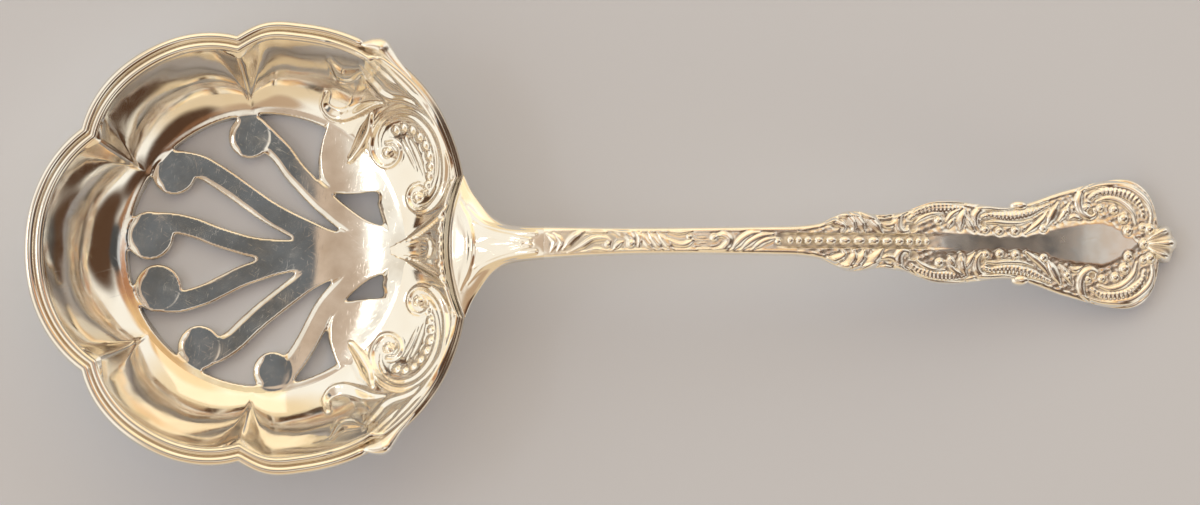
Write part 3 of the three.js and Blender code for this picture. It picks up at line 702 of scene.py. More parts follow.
def makeBowl():
    angles = bowlAngles()
    reach, height, wallTop = bowlSections(angles)
    turn = np.radians(angles)[:, None]
    points = np.stack([centreX + reach * np.cos(turn), reach * np.sin(turn), height], axis=2)
    normal = np.cross(np.gradient(points, axis=1), np.gradient(points, axis=0))
    normal /= np.maximum(np.linalg.norm(normal, axis=2, keepdims=True), 1e-9)
    if normal[0, wallTop // 2, 2] < 0:  # the inside of the bowl faces up
        normal = -normal
    rise = shoulderRelief(points[:, :, 0] - centreX, points[:, :, 1])
    fadeStart, fadeEnd = bowlMesh["reliefEnds"]
    fade = ease(-np.arange(rise.shape[1]), -wallTop - fadeEnd, -wallTop - fadeStart)
    fade[:2] = 0
    rise *= fade[None, :]
    foot = wallFoot(angles)[:, None]
    top = borderReach(angles)[:, None] - bowlShape["rimWidth"]
    run = np.clip((reach - foot) / (top - foot), 0, 1)
    folds = fluteFolds(angles, run)
    folds[:, wallTop:] = 0
    points += normal * (rise + folds)[:, :, None]
    raised = shadeOf(rise, bowlShape["shade"])
    grooveStart, grooveEnd = bowlMesh["groove"]
    groove = slice(wallTop + grooveStart, wallTop + grooveEnd)
    raised[:, groove] = np.maximum(raised[:, groove] - bowlShape["groove"], 0)
    bm = gridPiece(len(angles) - 1, reach.shape[1] - 1, points, raised)
    finishPiece("fluted_bowl", bm, polishedSilver, "polished_silver", "bowl")


makeBowl()


# Pierced floor: the sheet with its lobes and the spray of six scroll-ended bars

floorShape = {
    "grain": 0.128,  # size of the cells that the plate is fused in
    "smoothing": 5,
    "faceBand": 0.04,  # what lies this near the top or the underside belongs to it
    "proud": 0.03,  # the plate stands this far over the bowl's own floor
    "tuck": 0.12,  # and dips this far where the wall covers it
    "tuckSpan": (0.3, 0.8),  # past the opening
    "cover": 1.3,  # the sheet runs on this far under the wall
    "edgeBlend": 0.2,
    "edgeWidth": 0.2,  # the sawn edges are filed round
    "edgeDrop": 0.1,
    "chamfer": 0.65,  # those that face the tip more widely, and flat
    "chamferSlope": 0.37,
    "chamferSpan": (0.15, 0.75),  # how squarely an edge has to face the tip
    "wave": 0.035,  # the bars aren't quite level
    "waves": [(0.52, -0.35, 0.6), (0.3, 0.6, 2.0)],
    "discDome": 0.025,
    "discLine": 0.012,  # depth of the fine line where a bar curls round its disc
    "discLineAt": 0.97,  # place and width of that line in shares of the disc's radius
    "discLineWidth": 0.06,
    "shade": 0.6,
}
# Bars from the bowl's centre, x towards the handle and y to the left: disc (x, y, radius) and route
sprayBars = [
    {"disc": (-0.9, 12.2, 2.3), "width": 2.45, "line": [
        (-0.1, 12.9), (1.5, 11.35), (2.55, 10.2), (3.55, 8.75), (4.8, 7.3), (6.1, 5.9), (7.2, 4.9),
        (8.5, 3.8), (10.6, 2.3), (12.8, 1.4), (14.5, 1.0)]},
    {"disc": (-8.8, 8.55, 2.35), "width": 2.5, "line": [
        (-8.7, 9.65), (-7.2, 9.45), (-5.95, 9.1), (-4.5, 8.25), (-2.95, 7.2), (-1.05, 5.8), (1.0, 4.35),
        (3.4, 3.0), (5.05, 2.2), (7.5, 1.1), (11.0, 0.5), (14.5, 0.4)]},
    {"disc": (-11.35, 2.0, 2.55), "width": 2.2, "line": [
        (-11.2, 3.4), (-8.8, 3.25), (-6.7, 2.75), (-4.7, 1.95), (-2.6, 1.25), (-0.6, 0.7), (2.0, 0.4),
        (6.0, 0.2), (14.5, 0.1)]},
    {"disc": (-10.5, -3.5, 2.5), "width": 2.25, "line": [
        (-10.3, -4.85), (-8.7, -5.0), (-7.1, -4.65), (-5.45, -4.1), (-3.7, -3.25), (-1.9, -2.4),
        (0.0, -1.75), (2.0, -1.15), (6.0, -0.5), (14.5, -0.2)]},
    {"disc": (-6.2, -9.7, 2.33), "width": 2.45, "line": [
        (-6.0, -10.5), (-4.4, -10.1), (-2.8, -9.1), (-1.4, -7.8), (0.0, -6.55), (1.6, -5.3), (3.3, -4.0),
        (5.0, -2.8), (7.0, -1.8), (10.0, -0.9), (14.5, -0.5)]},
    {"disc": (1.4, -12.3, 2.13), "width": 2.4, "line": [
        (2.2, -13.2), (3.1, -11.9), (4.15, -10.5), (5.2, -8.75), (6.1, -7.0), (7.0, -5.5), (8.2, -4.15),
        (9.6, -2.85), (11.3, -1.75), (13.1, -1.15), (14.5, -1.0)]},
]


def raiseSheet(bm, faces):
    grown = bmesh.ops.extrude_face_region(bm, geom=faces)["geom"]
    lift = [v for v in grown if isinstance(v, bmesh.types.BMVert)]
    bmesh.ops.translate(bm, verts=lift, vec=(0, 0, sheet))


def addBar(bm, bar):
    # a strip of even width along a smooth path, raised to the sheet's thickness
    line, _ = smoothLine(bar["line"], 0.5)
    along = np.gradient(line, axis=0)
    across = np.stack([-along[:, 1], along[:, 0]], axis=1)
    across /= np.linalg.norm(across, axis=1, keepdims=True)
    made = bmesh.ops.create_grid(bm, x_segments=len(line) - 1, y_segments=1, size=0.5)["verts"]
    for v in made:
        i = round((v.co.x + 0.5) * (len(line) - 1))
        side = bar["width"] / 2 * (1 if v.co.y > 0 else -1)
        v.co = (line[i, 0] + across[i, 0] * side, line[i, 1] + across[i, 1] * side, 0)
    faces = list({f for v in made for f in v.link_faces})
    raiseSheet(bm, faces)


def addFloorRing(bm):
    # the flat ring and its two lobes, out to where the wall covers it, in half degrees
    made = bmesh.ops.create_grid(bm, x_segments=720, y_segments=1, size=0.5)["verts"]
    for v in made:
        degrees = (v.co.x + 0.5) * 360
        inner = float(floorEdge(np.array(degrees)))
        reach = inner if v.co.y < 0 else float(openingReach(degrees)) + floorShape["cover"]
        angle = math.radians(degrees)
        v.co = (reach * math.cos(angle), reach * math.sin(angle), 0)
    bmesh.ops.remove_doubles(bm, verts=made, dist=1e-4)
    raiseSheet(bm, list(bm.faces))


def insideEdge(x, y):
    # how far in from the sawn edges each place of the plate lies
    blend = floorShape["edgeBlend"]  # rounds the corners where a bar meets its disc or another bar
    parts = [np.hypot(x, y) - floorEdge(np.degrees(np.arctan2(y, x)))]
    for bar in sprayBars:
        discX, discY, radius = bar["disc"]
        parts.append(radius - np.hypot(x - discX, y - discY))
        line, _ = smoothLine(bar["line"], 0.15)
        gap = np.full(x.shape, 99.0)
        for px, py in line:
            gap = np.minimum(gap, np.hypot(x - px, y - py))
        parts.append(bar["width"] / 2 - gap)
    return blend * np.log(np.sum(np.exp(np.array(parts) / blend), axis=0))


def plateHeights(x, y):
    # underside and top: dished with the bowl, filed round at the sawn edges, and gone under the wall
    f = floorShape
    degrees = np.degrees(np.arctan2(y, x))
    reach = np.hypot(x, y)
    seat = innerHeight(reach, degrees, wallShape(degrees))
    past = reach - openingReach(degrees)
    tuckStart, tuckEnd = f["tuckSpan"]
    proud = f["proud"] * (1 - ease(past, tuckStart, tuckEnd)) - f["tuck"] * ease(past, tuckEnd, f["cover"])
    inside = insideEdge(x, y)
    facing = ease((insideEdge(x + f["grain"], y) - inside) / f["grain"], *f["chamferSpan"])
    edge = 1 - np.clip(inside / f["edgeWidth"], 0, 1)
    drop = f["edgeDrop"] * (1 - np.sqrt(1 - edge ** 2))
    drop = drop + f["chamferSlope"] * facing * np.clip(f["chamfer"] * facing - inside, 0, f["chamfer"])
    # only the bars wave, not the ring or the hub
    free = ease(-past, 0.6, 4.0) * ease(-x, -9, -4)
    seat = seat + f["wave"] * free * ripples(x, y, f["waves"])
    top = seat + proud - drop
    for bar in sprayBars:
        discX, discY, radius = bar["disc"]
        fromDisc = np.hypot(x - discX, y - discY) / radius
        line = np.exp(-((fromDisc - f["discLineAt"]) / f["discLineWidth"]) ** 2)
        top = top + f["discDome"] * np.clip(1 - fromDisc ** 2, 0, 1)
        top = top - f["discLine"] * line * ease(inside, 0.1, 0.5)
    return seat - sheet, top


def fused(bm, cell):
    # one skin round overlapping solids, as even cells
    bmesh.ops.recalc_face_normals(bm, faces=bm.faces)
    mesh = bpy.data.meshes.new("fusing")
    bm.to_mesh(mesh)
    bm.free()
    holder = bpy.data.objects.new("fusing", mesh)
    bpy.context.scene.collection.objects.link(holder)
    remesh = holder.modifiers.new("fuse", "REMESH")
    remesh.mode = "VOXEL"
    remesh.voxel_size = cell
    holderNow = holder.evaluated_get(bpy.context.evaluated_depsgraph_get())
    whole = bmesh.new()
    whole.from_mesh(holderNow.to_mesh())
    holderNow.to_mesh_clear()
    bpy.data.objects.remove(holder)
    bpy.data.meshes.remove(mesh)
    return whole


def makeFloor():
    f = floorShape
    bm = bmesh.new()
    addFloorRing(bm)
    for bar in sprayBars:
        x, y, radius = bar["disc"]
        bmesh.ops.create_cone(
            bm, cap_ends=True, segments=64, radius1=radius, radius2=radius, depth=sheet,
            matrix=Matrix.Translation((x, y, sheet / 2)),
        )
        addBar(bm, bar)
    whole = fused(bm, f["grain"])
    for _ in range(f["smoothing"]):
        bmesh.ops.smooth_vert(
            whole, verts=whole.verts, factor=0.5, use_axis_x=True, use_axis_y=True, use_axis_z=True,
        )
    places = np.array([v.co[:] for v in whole.verts])
    x, y, z = places.T
    share = np.where(z > sheet - f["faceBand"], 1, np.where(z < f["faceBand"], 0, z / sheet))
    under, top = plateHeights(x, y)
    z = mix(under, top, share)
    layer = whole.verts.layers.float.new("raised")
    for v, at in zip(whole.verts, np.stack([x + centreX, y, z], axis=1) * mm):
        v.co = at
        v[layer] = f["shade"]
    finishPiece("pierced_floor", whole, piercedSilver, "pierced_silver", "pierced_spray")


makeFloor()


# Border: the round outer reed and the two leaf tips

def sweep(line, radius, sides):
    # points round a path, as a grid of (along, round)
    along = np.gradient(line, axis=0)
    along /= np.linalg.norm(along, axis=1, keepdims=True)
    side = np.cross(along, (0, 0, 1))
    side /= np.linalg.norm(side, axis=1, keepdims=True)
    up = np.cross(side, along)
    turn = np.linspace(0, 2 * np.pi, sides + 1)
    ring = side[:, None, :] * np.cos(turn)[None, :, None] + up[:, None, :] * np.sin(turn)[None, :, None]
    return line[:, None, :] + ring * radius[:, None, None]


reedShape = {
    "start": 3.0,  # degrees past the leaf tip's place
    "taper": 3.0,  # degrees over which it swells from its pointed end
    "sections": 420,
    "sides": 16,
    "shade": 0.8,
}


def makeReed():
    s = reedShape
    radius = bowlShape["beadSize"] / 2
    first = bowlShape["leafTip"] + s["start"]
    angles = np.linspace(first, 360 - first, s["sections"])
    size = radius * ease(fromHeel(angles), first - 1, first + s["taper"])
    reach = borderReach(angles) - radius
    turn = np.radians(angles)
    height = np.full_like(angles, rimTop - radius)
    line = np.stack([centreX + reach * np.cos(turn), reach * np.sin(turn), height], axis=1)
    points = sweep(line, size, s["sides"])
    points[0] = line[0]
    points[-1] = line[-1]
    bm = gridPiece(len(angles) - 1, s["sides"], points, np.full(points.shape[:2], s["shade"]))
    finishPiece("outer_reed", bm, polishedSilver, "polished_silver", "rim_bead")


leafTipShape = {
    # as (degrees past its place, out from the edge, down from the rim, radius)
    "path": [
        (5.2, -0.6, 0.3, 0.1), (3.8, -0.4, 0.3, 0.42), (2.0, -0.02, 0.35, 0.72), (0.3, 0.18, 0.4, 0.88),
        (-1.5, 0.0, 0.5, 0.74), (-4.5, -0.33, 0.5, 0.54), (-8.0, -0.5, 0.4, 0.34), (-12.0, -0.55, 0.4, 0.1),
    ],
    "flutes": 3,  # these run down the tip, as on a folded leaf
    "fluteDepth": 0.16,
    "shade": 0.5,
    "fluteShade": 0.4,  # gained with the depth of the flutes
    "sections": 60,
    "sides": 24,
}


def makeLeafTip(side, name, node):
    s = leafTipShape
    stations = np.array(s["path"])
    knots = np.arange(len(stations))
    fine = np.linspace(0, len(stations) - 1, s["sections"])
    turnBy, out, down, radius = [curveThrough(list(zip(knots, stations[:, k])))(fine) for k in range(4)]
    degrees = bowlShape["leafTip"] + turnBy
    reach = borderReach(degrees) + out
    angle = np.radians(side * degrees)
    line = np.stack([centreX + reach * np.cos(angle), reach * np.sin(angle), rimTop - down], axis=1)
    radius[0] = radius[-1] = 0
    points = sweep(line, radius, s["sides"])
    turn = np.linspace(0, 2 * np.pi, s["sides"] + 1)
    flute = 1 - s["fluteDepth"] * (0.5 + 0.5 * np.cos(s["flutes"] * turn))
    points = line[:, None, :] + (points - line[:, None, :]) * flute[None, :, None]
    raised = np.repeat((s["shade"] + s["fluteShade"] * (1 - flute))[None, :], len(fine), 0)
    bm = gridPiece(len(fine) - 1, s["sides"], points, raised)
    finishPiece(name, bm, reliefSilver, "relief_silver", node)


makeReed()
makeLeafTip(1, "leaf_curl_left", "leaf_tip_left")
makeLeafTip(-1, "leaf_curl_right", "leaf_tip_right")


# Handle

handleShape = {
    "stemThickness": 2.0,
    "terminalWidth": 13.6,
    "terminalThickness": 1.7,
    "neckThickness": 1.6,
    "heelRise": 0.6,
    "archRise": 2.7,
    "squareness": 3.6,
    "endRound": 5.0,  # length of the rounded end of the terminal
    "terminalLength": 38.1,
    "archLength": 38.9,  # terminal and the part of the shell past it, as the arch is drawn
    "endGap": 0.02,  # a section this close to each joint keeps the shading of the end off the top
}
stemX = nodeBox("stem")[0].x
terminalX = nodeBox("terminal")[0].x
endX = terminalX + handleShape["terminalLength"]
heelX = centreX + bowlShape["heelReach"]
stemLength = terminalX - stemX
archLength = handleShape["archLength"]
heelMiddle = rimTop + handleShape["heelRise"] - handleShape["neckThickness"] / 2
rootMiddle = heelMiddle - bowlShape["heelDip"]
archTop = heelMiddle + handleShape["archRise"]

# Height of the handle's middle, from the seam over the arch to the end
archMiddle = curveThrough([
    (heelX, rootMiddle),
    (stemX, mix(heelMiddle, archTop, 0.67)),
    (stemX + stemLength * 0.45, archTop),
    (terminalX, archTop * 0.855),
    (terminalX + archLength * 0.45, archTop * 0.48),
    (terminalX + archLength * 0.78, archTop * 0.17),
    (terminalX + archLength, handleShape["terminalThickness"] / 2),
])

halfThickness = curveThrough([
    (stemX, handleShape["stemThickness"] / 2),
    (terminalX, handleShape["stemThickness"] * 0.475),
    (terminalX + archLength * 0.3, handleShape["terminalThickness"] / 2),
    (endX, handleShape["terminalThickness"] / 2),
])

# Half width of the stem and the terminal in shares of the widest, by mm from the terminal's start
outline = curveThrough([
    (-stemLength, 0.243), (-stemLength * 0.85, 0.22), (-2.5, 0.22), (0, 0.228), (1.25, 0.245),
    (2.5, 0.28), (3.75, 0.365), (5, 0.44), (6.2, 0.45), (8.1, 0.405), (10, 0.425), (11.2, 0.455),
    (12.4, 0.53), (13.7, 0.6), (15.8, 0.63), (18.7, 0.59), (21.2, 0.55), (23, 0.565), (24.9, 0.645),
    (27.2, 0.765), (29.9, 0.875), (32.4, 0.96), (34.6, 1), (38.1, 1),
])


def halfWidth(x):
    along = x - terminalX
    wide = outline(along) * handleShape["terminalWidth"] / 2
    past = np.clip((x - (endX - handleShape["endRound"])) / handleShape["endRound"], 0, 1)
    return wide * (1 - past ** 3) ** (1 / 3)


def handleSections(xs, shape, width, middle, thick, squareness):
    # points round the handle at each x, over the top from right to left and back underneath
    overTop = np.linspace(-1, 1, shape["topRows"] + 1)
    top = np.sin(overTop * np.pi / 2)
    underneath = np.linspace(-1, 1, shape["backRows"] + 1)
    back = -np.sin(underneath * np.pi / 2)[1:]
    across = np.concatenate([top, back])
    upward = np.concatenate([np.ones(len(top)), -np.ones(len(back))])
    rise = (1 - np.abs(across)[None, :] ** squareness) ** (1 / squareness) * upward[None, :]
    x = np.repeat(xs[:, None], len(across), 1)
    y = across[None, :] * width[:, None]
    z = middle[:, None] + rise * thick[:, None]
    return np.stack([x, y, z], axis=2), across, upward


def handleMesh(points, rise, shade, closedEnds=(0, -1)):
    # sections lifted by their relief, with the flat ends drawn together to close them
    points[:, :, 2] += rise
    for end in closedEnds:
        at = len(points) if end else 0
        points = np.insert(points, at, points[end].mean(axis=0), axis=0)
        rise = np.insert(rise, at, rise[end], axis=0)
    return gridPiece(len(points) - 1, points.shape[1] - 1, points, shadeOf(rise, shade))


# Half width of the neck in shares of its full width at the heel, by the share of its length from there
neckFlank = curveThrough([
    (0, 0.5), (0.09, 0.39), (0.2, 0.3), (0.32, 0.215), (0.44, 0.165), (0.58, 0.135), (0.78, 0.121),
    (1, 0.113),
])

# The neck and its ornament from the heel, x along and y outwards
neckWork = {
    "sections": 110,
    "topRows": 96,
    "backRows": 24,
    "seamGap": 0.04,
    "heelSquareness": 1.7,
    "thickensFrom": 0.3,  # share of its length from the heel
    "strokes": [
        # line along the seam and the ridge behind it
        {"width": 0.3, "height": 0.08, "start": 1.0, "end": 0.4, "line": [
            (0.12, 0.0), (0.16, 1.6), (0.36, 3.2), (0.68, 4.6), (1.1, 6.0)]},
        {"width": 0.8, "height": 0.18, "start": 1.0, "end": 0.3, "line": [
            (2.35, 0.0), (2.25, 1.2), (1.95, 2.4), (1.55, 3.4), (1.1, 4.4)]},
        # rays that run into the stem
        {"width": 1.2, "height": 0.15, "start": 0.3, "end": 0.5, "line": [
            (2.5, 2.3), (4.5, 1.3), (6.6, 0.65), (8.2, 0.3)]},
        {"width": 1.2, "height": 0.15, "start": 0.3, "end": 0.5, "line": [
            (2.9, 0.0), (4.8, 0.0), (7.4, 0.0)]},
        {"width": 0.8, "height": 0.14, "start": 0.2, "end": 0.8, "line": [
            (1.9, 3.9), (3.3, 2.35), (5.0, 1.6), (7.0, 1.15), (8.8, 0.95)]},
    ],
    "valley": 0.03,
    "valleySpread": 0.3,
    "shade": 0.35,  # relief that is fully toned or fully bright
}


def makeNeck():
    s = handleShape
    work = neckWork
    share = np.linspace(0, 1, work["sections"] + 1)
    share = np.insert(share, work["sections"], 1 - s["endGap"] / (stemX - heelX))
    xs = mix(heelX + work["seamGap"], stemX, share)
    width = neckFlank(share) * bowlShape["neckWidth"]
    squareness = mix(work["heelSquareness"], s["squareness"], share)[:, None]
    thick = mix(s["neckThickness"] / 2, s["stemThickness"] / 2, ease(share, work["thickensFrom"], 1))
    points, across, upward = handleSections(xs, work, width, archMiddle(xs), thick, squareness)
    # the neck's end follows the bow of the seam
    points[:, :, 0] += (1 - share)[:, None] * bowlShape["heelCurve"] * across[None, :] ** 2
    relief = Relief(points[:, :, 0] - heelX, np.abs(points[:, :, 1]))
    for item in work["strokes"]:
        relief.stroke(**item)
    rise = relief.height(work["valley"], work["valleySpread"])
    rise *= (upward > 0)[None, :] * np.sqrt(1 - np.abs(across) ** 2)[None, :]
    bm = handleMesh(points, rise, work["shade"])
    finishPiece("neck_root", bm, polishedSilver, "polished_silver", "neck")


# Row of graduated pearls, and the channel they stand in, from the terminal's start
pearlRow = {
    "first": -0.75,
    "count": 13,
    "run": 14.05,
    "crowding": 0.28,  # share by which the end pearls are shorter and closer, and the middle ones longer
    "across": 0.47,
    "fill": 0.92,  # length of a pearl as a share of its spacing
    "seat": 0.05,  # their middles lie this deep under the plain surface
    "channelStart": (-2.4, -1.0),  # the channel sinks in over this stretch of the stem
    "channelEnd": (10.7, 16.7),  # and runs out over this one
    "channelHalf": 0.6,
    "channelDepth": 0.22,
    "shade": 0.9,
}


def channelAcross(y):
    half = pearlRow["channelHalf"]
    return pearlRow["channelDepth"] * ease(-np.abs(y), -half - 0.2, -half)


# Running scroll of the stem, from its start, x along and y across
stemWork = {
    "sections": 250,
    "topRows": 48,
    "backRows": 16,
    "edgeWidth": 0.5,
    "ground": 0.1,  # depth of the sunk ground
    "groundSpan": (0.0, 3.0),  # it sinks in over this stretch
    "fullness": 1.25,
    "height": 0.14,
    "heightByWidth": 0.12,
    "start": 0.35,
    "end": 0.4,
    "soft": 1.0,
    "strokes": [
        {"width": 0.55, "line": [(0.3, 0.8), (1.1, 0.0), (0.7, -0.95)]},
        {"width": 0.5, "line": [(1.0, 0.85), (1.75, 0.0), (1.35, -0.95)]},
        {"width": 0.75, "line": [(1.95, -0.75), (3.0, 0.4), (4.0, 1.0)]},
        {"width": 0.6, "line": [
            (2.4, -1.1), (3.6, -0.6), (4.9, 0.2), (6.1, 0.3), (6.6, -0.05), (6.35, -0.4)]},
        {"width": 0.45, "line": [(4.3, 0.95), (5.3, 0.95), (6.3, 0.85)]},
        {"width": 0.4, "line": [(4.4, -0.9), (5.3, -0.8), (6.2, -0.95)]},
        {"width": 0.9, "line": [(6.9, 1.1), (8.2, 0.75), (8.9, 0.0), (8.7, -0.35)]},
        {"width": 0.5, "line": [(6.9, -0.9), (7.5, -0.3), (7.9, -0.1)]},
        {"width": 0.5, "line": [(9.1, 0.95), (9.6, 0.3), (9.45, -0.6)]},
        {"width": 0.7, "line": [(9.7, 0.8), (10.2, -0.1), (10.95, -0.9)]},
        {"width": 0.7, "line": [(10.5, 0.8), (11.05, 0.0), (11.8, -0.9)]},
        {"width": 0.65, "line": [(11.4, 0.75), (12.0, 0.0), (12.9, -0.95)]},
        {"width": 0.55, "line": [(12.0, 0.3), (13.2, -0.35), (14.1, -0.4), (14.8, 0.0), (14.5, 0.35)]},
        {"width": 0.4, "line": [(12.6, 0.85), (13.6, 0.75), (14.8, 0.95)]},
        {"width": 0.75, "line": [(16.9, 0.3), (17.95, 0.5), (18.5, 0.0), (17.95, -0.75), (16.9, -1.0)]},
        {"width": 0.45, "line": [(15.3, -0.85), (16.1, -0.95), (16.9, -0.95)]},
        {"width": 0.7, "line": [(18.7, -1.1), (19.7, 0.0), (20.6, 0.6), (21.6, 0.8)]},
        {"width": 0.65, "line": [(19.6, -1.1), (20.6, -0.2), (21.7, 0.4), (22.9, 0.6)]},
        {"width": 0.6, "line": [(20.8, -0.95), (22.0, -0.1), (23.2, 0.2)]},
    ],
    "heads": [
        (8.7, -0.3, 0.46), (17.0, 0.25, 0.4), (6.35, -0.35, 0.3), (14.5, 0.35, 0.28), (23.5, -0.1, 0.35),
    ],
    "headHeight": 0.85,  # as a share of the radius
    "hatching": [(15.1, 0.25), (15.15, 0.0), (15.2, -0.25)],  # where these three short lines start
    "hatchSteps": (0.0, 0.7, 1.3),  # and the points of each from there
    "hatchWidth": 0.2,
    "hatchHeight": 0.1,
    "valley": 0.05,
    "shade": 0.6,
}


def makeStem():
    s = handleShape
    work = stemWork
    xs = np.linspace(stemX, terminalX, work["sections"] + 1)
    xs = np.insert(xs, (1, work["sections"]), (stemX + s["endGap"], terminalX - s["endGap"]))
    width = halfWidth(xs)
    points, _, upward = handleSections(xs, work, width, archMiddle(xs), halfThickness(xs), s["squareness"])
    along = points[:, :, 0] - stemX
    y = points[:, :, 1]
    relief = Relief(along, y)
    relief.strokes(work)
    for x, level, radius in work["heads"]:
        relief.bead(x, level, radius, radius * work["headHeight"])
    for x, level in work["hatching"]:
        line = [(x + step, level) for step in work["hatchSteps"]]
        relief.stroke(line, work["hatchWidth"], work["hatchHeight"])
    # the ground is sunk between two plain edge bands
    fromBand = width[:, None] - np.abs(y) - work["edgeWidth"]
    begun = ease(along, *work["groundSpan"])
    ground = -work["ground"] * ease(fromBand, -0.1, 0.2) * begun
    ground -= channelAcross(y) * ease(points[:, :, 0] - terminalX, *pearlRow["channelStart"])
    rise = relief.height(work["valley"]) * ease(fromBand, -0.25, 0.1) * mix(0.4, 1, begun) + ground
    rise = np.where((upward > 0)[None, :], rise, 0)
    bm = handleMesh(points, rise, work["shade"])
    finishPiece("scroll_stem", bm, reliefSilver, "relief_silver", "stem")


# Ornament of one side of the terminal, from its start, x along and y outwards
terminalWork = {
    "sections": 390,
    "crowding": 0.25,  # how much closer the sections stand towards the end
    "topRows": 168,
    "backRows": 40,
    "edgeWidth": 0.5,
    "ground": 0.1,
    "chasing": 0.02,  # height of the punched texture of the ground
    "chasingWaves": [(7.1, 2.3, 0.0), (-3.7, 8.9, 1.0), (4.9, 6.1, 2.0)],
    "panelEdge": (-0.35, 0.25),  # the smooth panel rises out of the ground over this width
    "panelStart": (12.0, 15.6),
    "fullness": 1.25,
    "height": 0.1,
    "heightByWidth": 0.22,
    "start": 0.45,
    "end": 0.4,
    "soft": 0.9,
    "hatchSoft": 0.6,
    "strokes": [
        # feathers beside the pearls
        {"width": 0.8, "lean": 0.4, "line": [(3.1, 1.75), (3.9, 1.8), (4.7, 1.4), (4.6, 0.95)]},
        {"width": 1.0, "lean": 0.5, "line": [(4.2, 2.65), (5.2, 2.3), (5.7, 1.5), (5.7, 0.95)]},
        {"width": 1.05, "lean": 0.5, "line": [(5.5, 2.75), (6.3, 1.95), (6.8, 1.0)]},
        {"width": 1.15, "lean": 0.5, "line": [(6.5, 2.9), (7.4, 2.2), (8.0, 1.5), (8.7, 0.7)]},
        {"width": 0.6, "line": [(8.4, 2.65), (9.3, 2.8), (10.1, 3.1)]},
        {"width": 0.6, "line": [(8.6, 1.8), (9.3, 1.6), (9.9, 1.75), (10.1, 2.35)]},
        # first scroll
        {"width": 0.85, "line": [
            (11.3, 3.1), (10.6, 2.7), (10.35, 2.0), (10.45, 1.4), (10.85, 0.98), (11.45, 1.1), (11.5, 1.5)]},
        {"width": 0.75, "line": [(11.0, 3.2), (12.3, 3.8), (14.0, 4.2), (15.6, 4.3), (17.3, 4.1)]},
        {"width": 0.9, "hatch": 0.42, "line": [
            (11.7, 2.4), (12.5, 3.0), (13.5, 3.35), (14.5, 3.5), (15.6, 3.5), (17.2, 3.5)]},
        {"width": 0.5, "line": [(12.2, 1.85), (12.9, 2.4), (13.9, 2.8), (15.2, 2.9)]},
        {"width": 0.5, "line": [(17.3, 3.5), (16.2, 2.9), (15.4, 2.0)]},
        {"width": 0.6, "line": [(16.3, 2.4), (15.9, 1.9), (15.7, 1.45)]},
        {"width": 0.85, "lean": 0.4, "line": [(17.4, 3.4), (17.0, 2.4), (16.9, 1.3)]},
        {"width": 0.6, "line": [(17.5, 2.7), (18.0, 1.8), (18.4, 1.15)]},
        # second scroll
        {"width": 0.75, "line": [
            (19.1, 1.15), (18.6, 1.8), (18.6, 2.8), (19.2, 3.45), (20.2, 3.65), (21.5, 3.5), (22.6, 3.6)]},
        {"width": 0.85, "hatch": 0.42, "line": [
            (19.3, 2.6), (20.1, 2.85), (21.2, 2.75), (22.5, 2.75), (23.9, 3.0), (25.1, 3.4), (26.4, 3.95)]},
        {"width": 0.5, "line": [(19.4, 2.0), (20.6, 2.1), (22.0, 2.0), (23.4, 2.05), (24.6, 2.4)]},
        {"width": 0.6, "line": [(23.9, 1.0), (25.0, 1.75), (25.8, 2.5), (26.3, 3.3)]},
        {"width": 0.8, "lean": -0.4, "line": [(27.5, 4.1), (26.9, 2.9), (26.3, 1.9)]},
        {"width": 0.55, "line": [(27.5, 2.3), (28.1, 3.0), (28.7, 4.1)]},
        {"width": 0.5, "line": [(28.6, 2.5), (29.2, 2.75), (29.9, 2.45)]},
        # end scroll
        {"width": 0.8, "line": [
            (30.6, 6.0), (29.85, 5.1), (29.7, 4.1), (30.05, 3.2), (30.8, 2.75), (31.4, 3.0), (31.3, 3.5)]},
        {"width": 0.75, "line": [
            (30.4, 5.6), (31.8, 6.05), (33.2, 6.1), (34.9, 5.85), (36.1, 5.2), (37.0, 4.3), (37.4, 3.2),
            (37.3, 2.2)]},
        {"width": 0.9, "hatch": 0.45, "line": [
            (30.9, 4.75), (31.9, 5.35), (33.2, 5.45), (34.6, 5.2), (35.6, 4.6), (36.3, 3.7), (36.5, 2.8)]},
        {"width": 0.65, "line": [
            (31.6, 4.35), (32.7, 4.7), (33.8, 4.5), (34.7, 3.95), (35.4, 3.1), (35.7, 2.0)]},
    ],
    "beads": [
        (14.7, 2.15, 0.5), (19.6, 1.3, 0.42), (21.1, 1.2, 0.45), (22.8, 1.25, 0.46), (25.8, 1.55, 0.42),
        (28.3, 3.3, 0.4), (30.5, 3.7, 0.4), (31.95, 3.65, 0.4), (33.4, 3.5, 0.5), (34.4, 2.6, 0.58),
        (34.85, 1.35, 0.5), (36.4, 1.7, 0.4), (37.15, 1.5, 0.55),
    ],
    "beadHeight": 0.85,  # as a share of the radius
    "pits": [(11.95, 1.45, 0.5), (19.3, 1.95, 0.3), (30.9, 3.3, 0.35)],
    "pitDepth": 0.3,
    "nose": (36.5, 0.0, 0.55, 0.42, 0.8),  # bead before the shell: place, radius, height and stretch
    "nub": (23.2, 0.95, 0.55),  # small leaf on the edge: place along, half length and half width
    "nubInset": 0.05,
    "nubRise": 0.3,
    "nubShade": 0.85,
    "valley": 0.07,
    "shade": 0.6,
}
# Half width of the plain panel down the middle, by mm from the terminal's start
panelWidth = curveThrough([
    (12.5, 0.0), (13.6, 0.9), (16, 1.05), (19, 1.0), (21.5, 0.8), (23.5, 0.85), (26, 1.35), (28.5, 1.9),
    (30.5, 2.2), (32.5, 2.2), (34, 1.5), (35.6, 0.4), (36, 0.0),
])


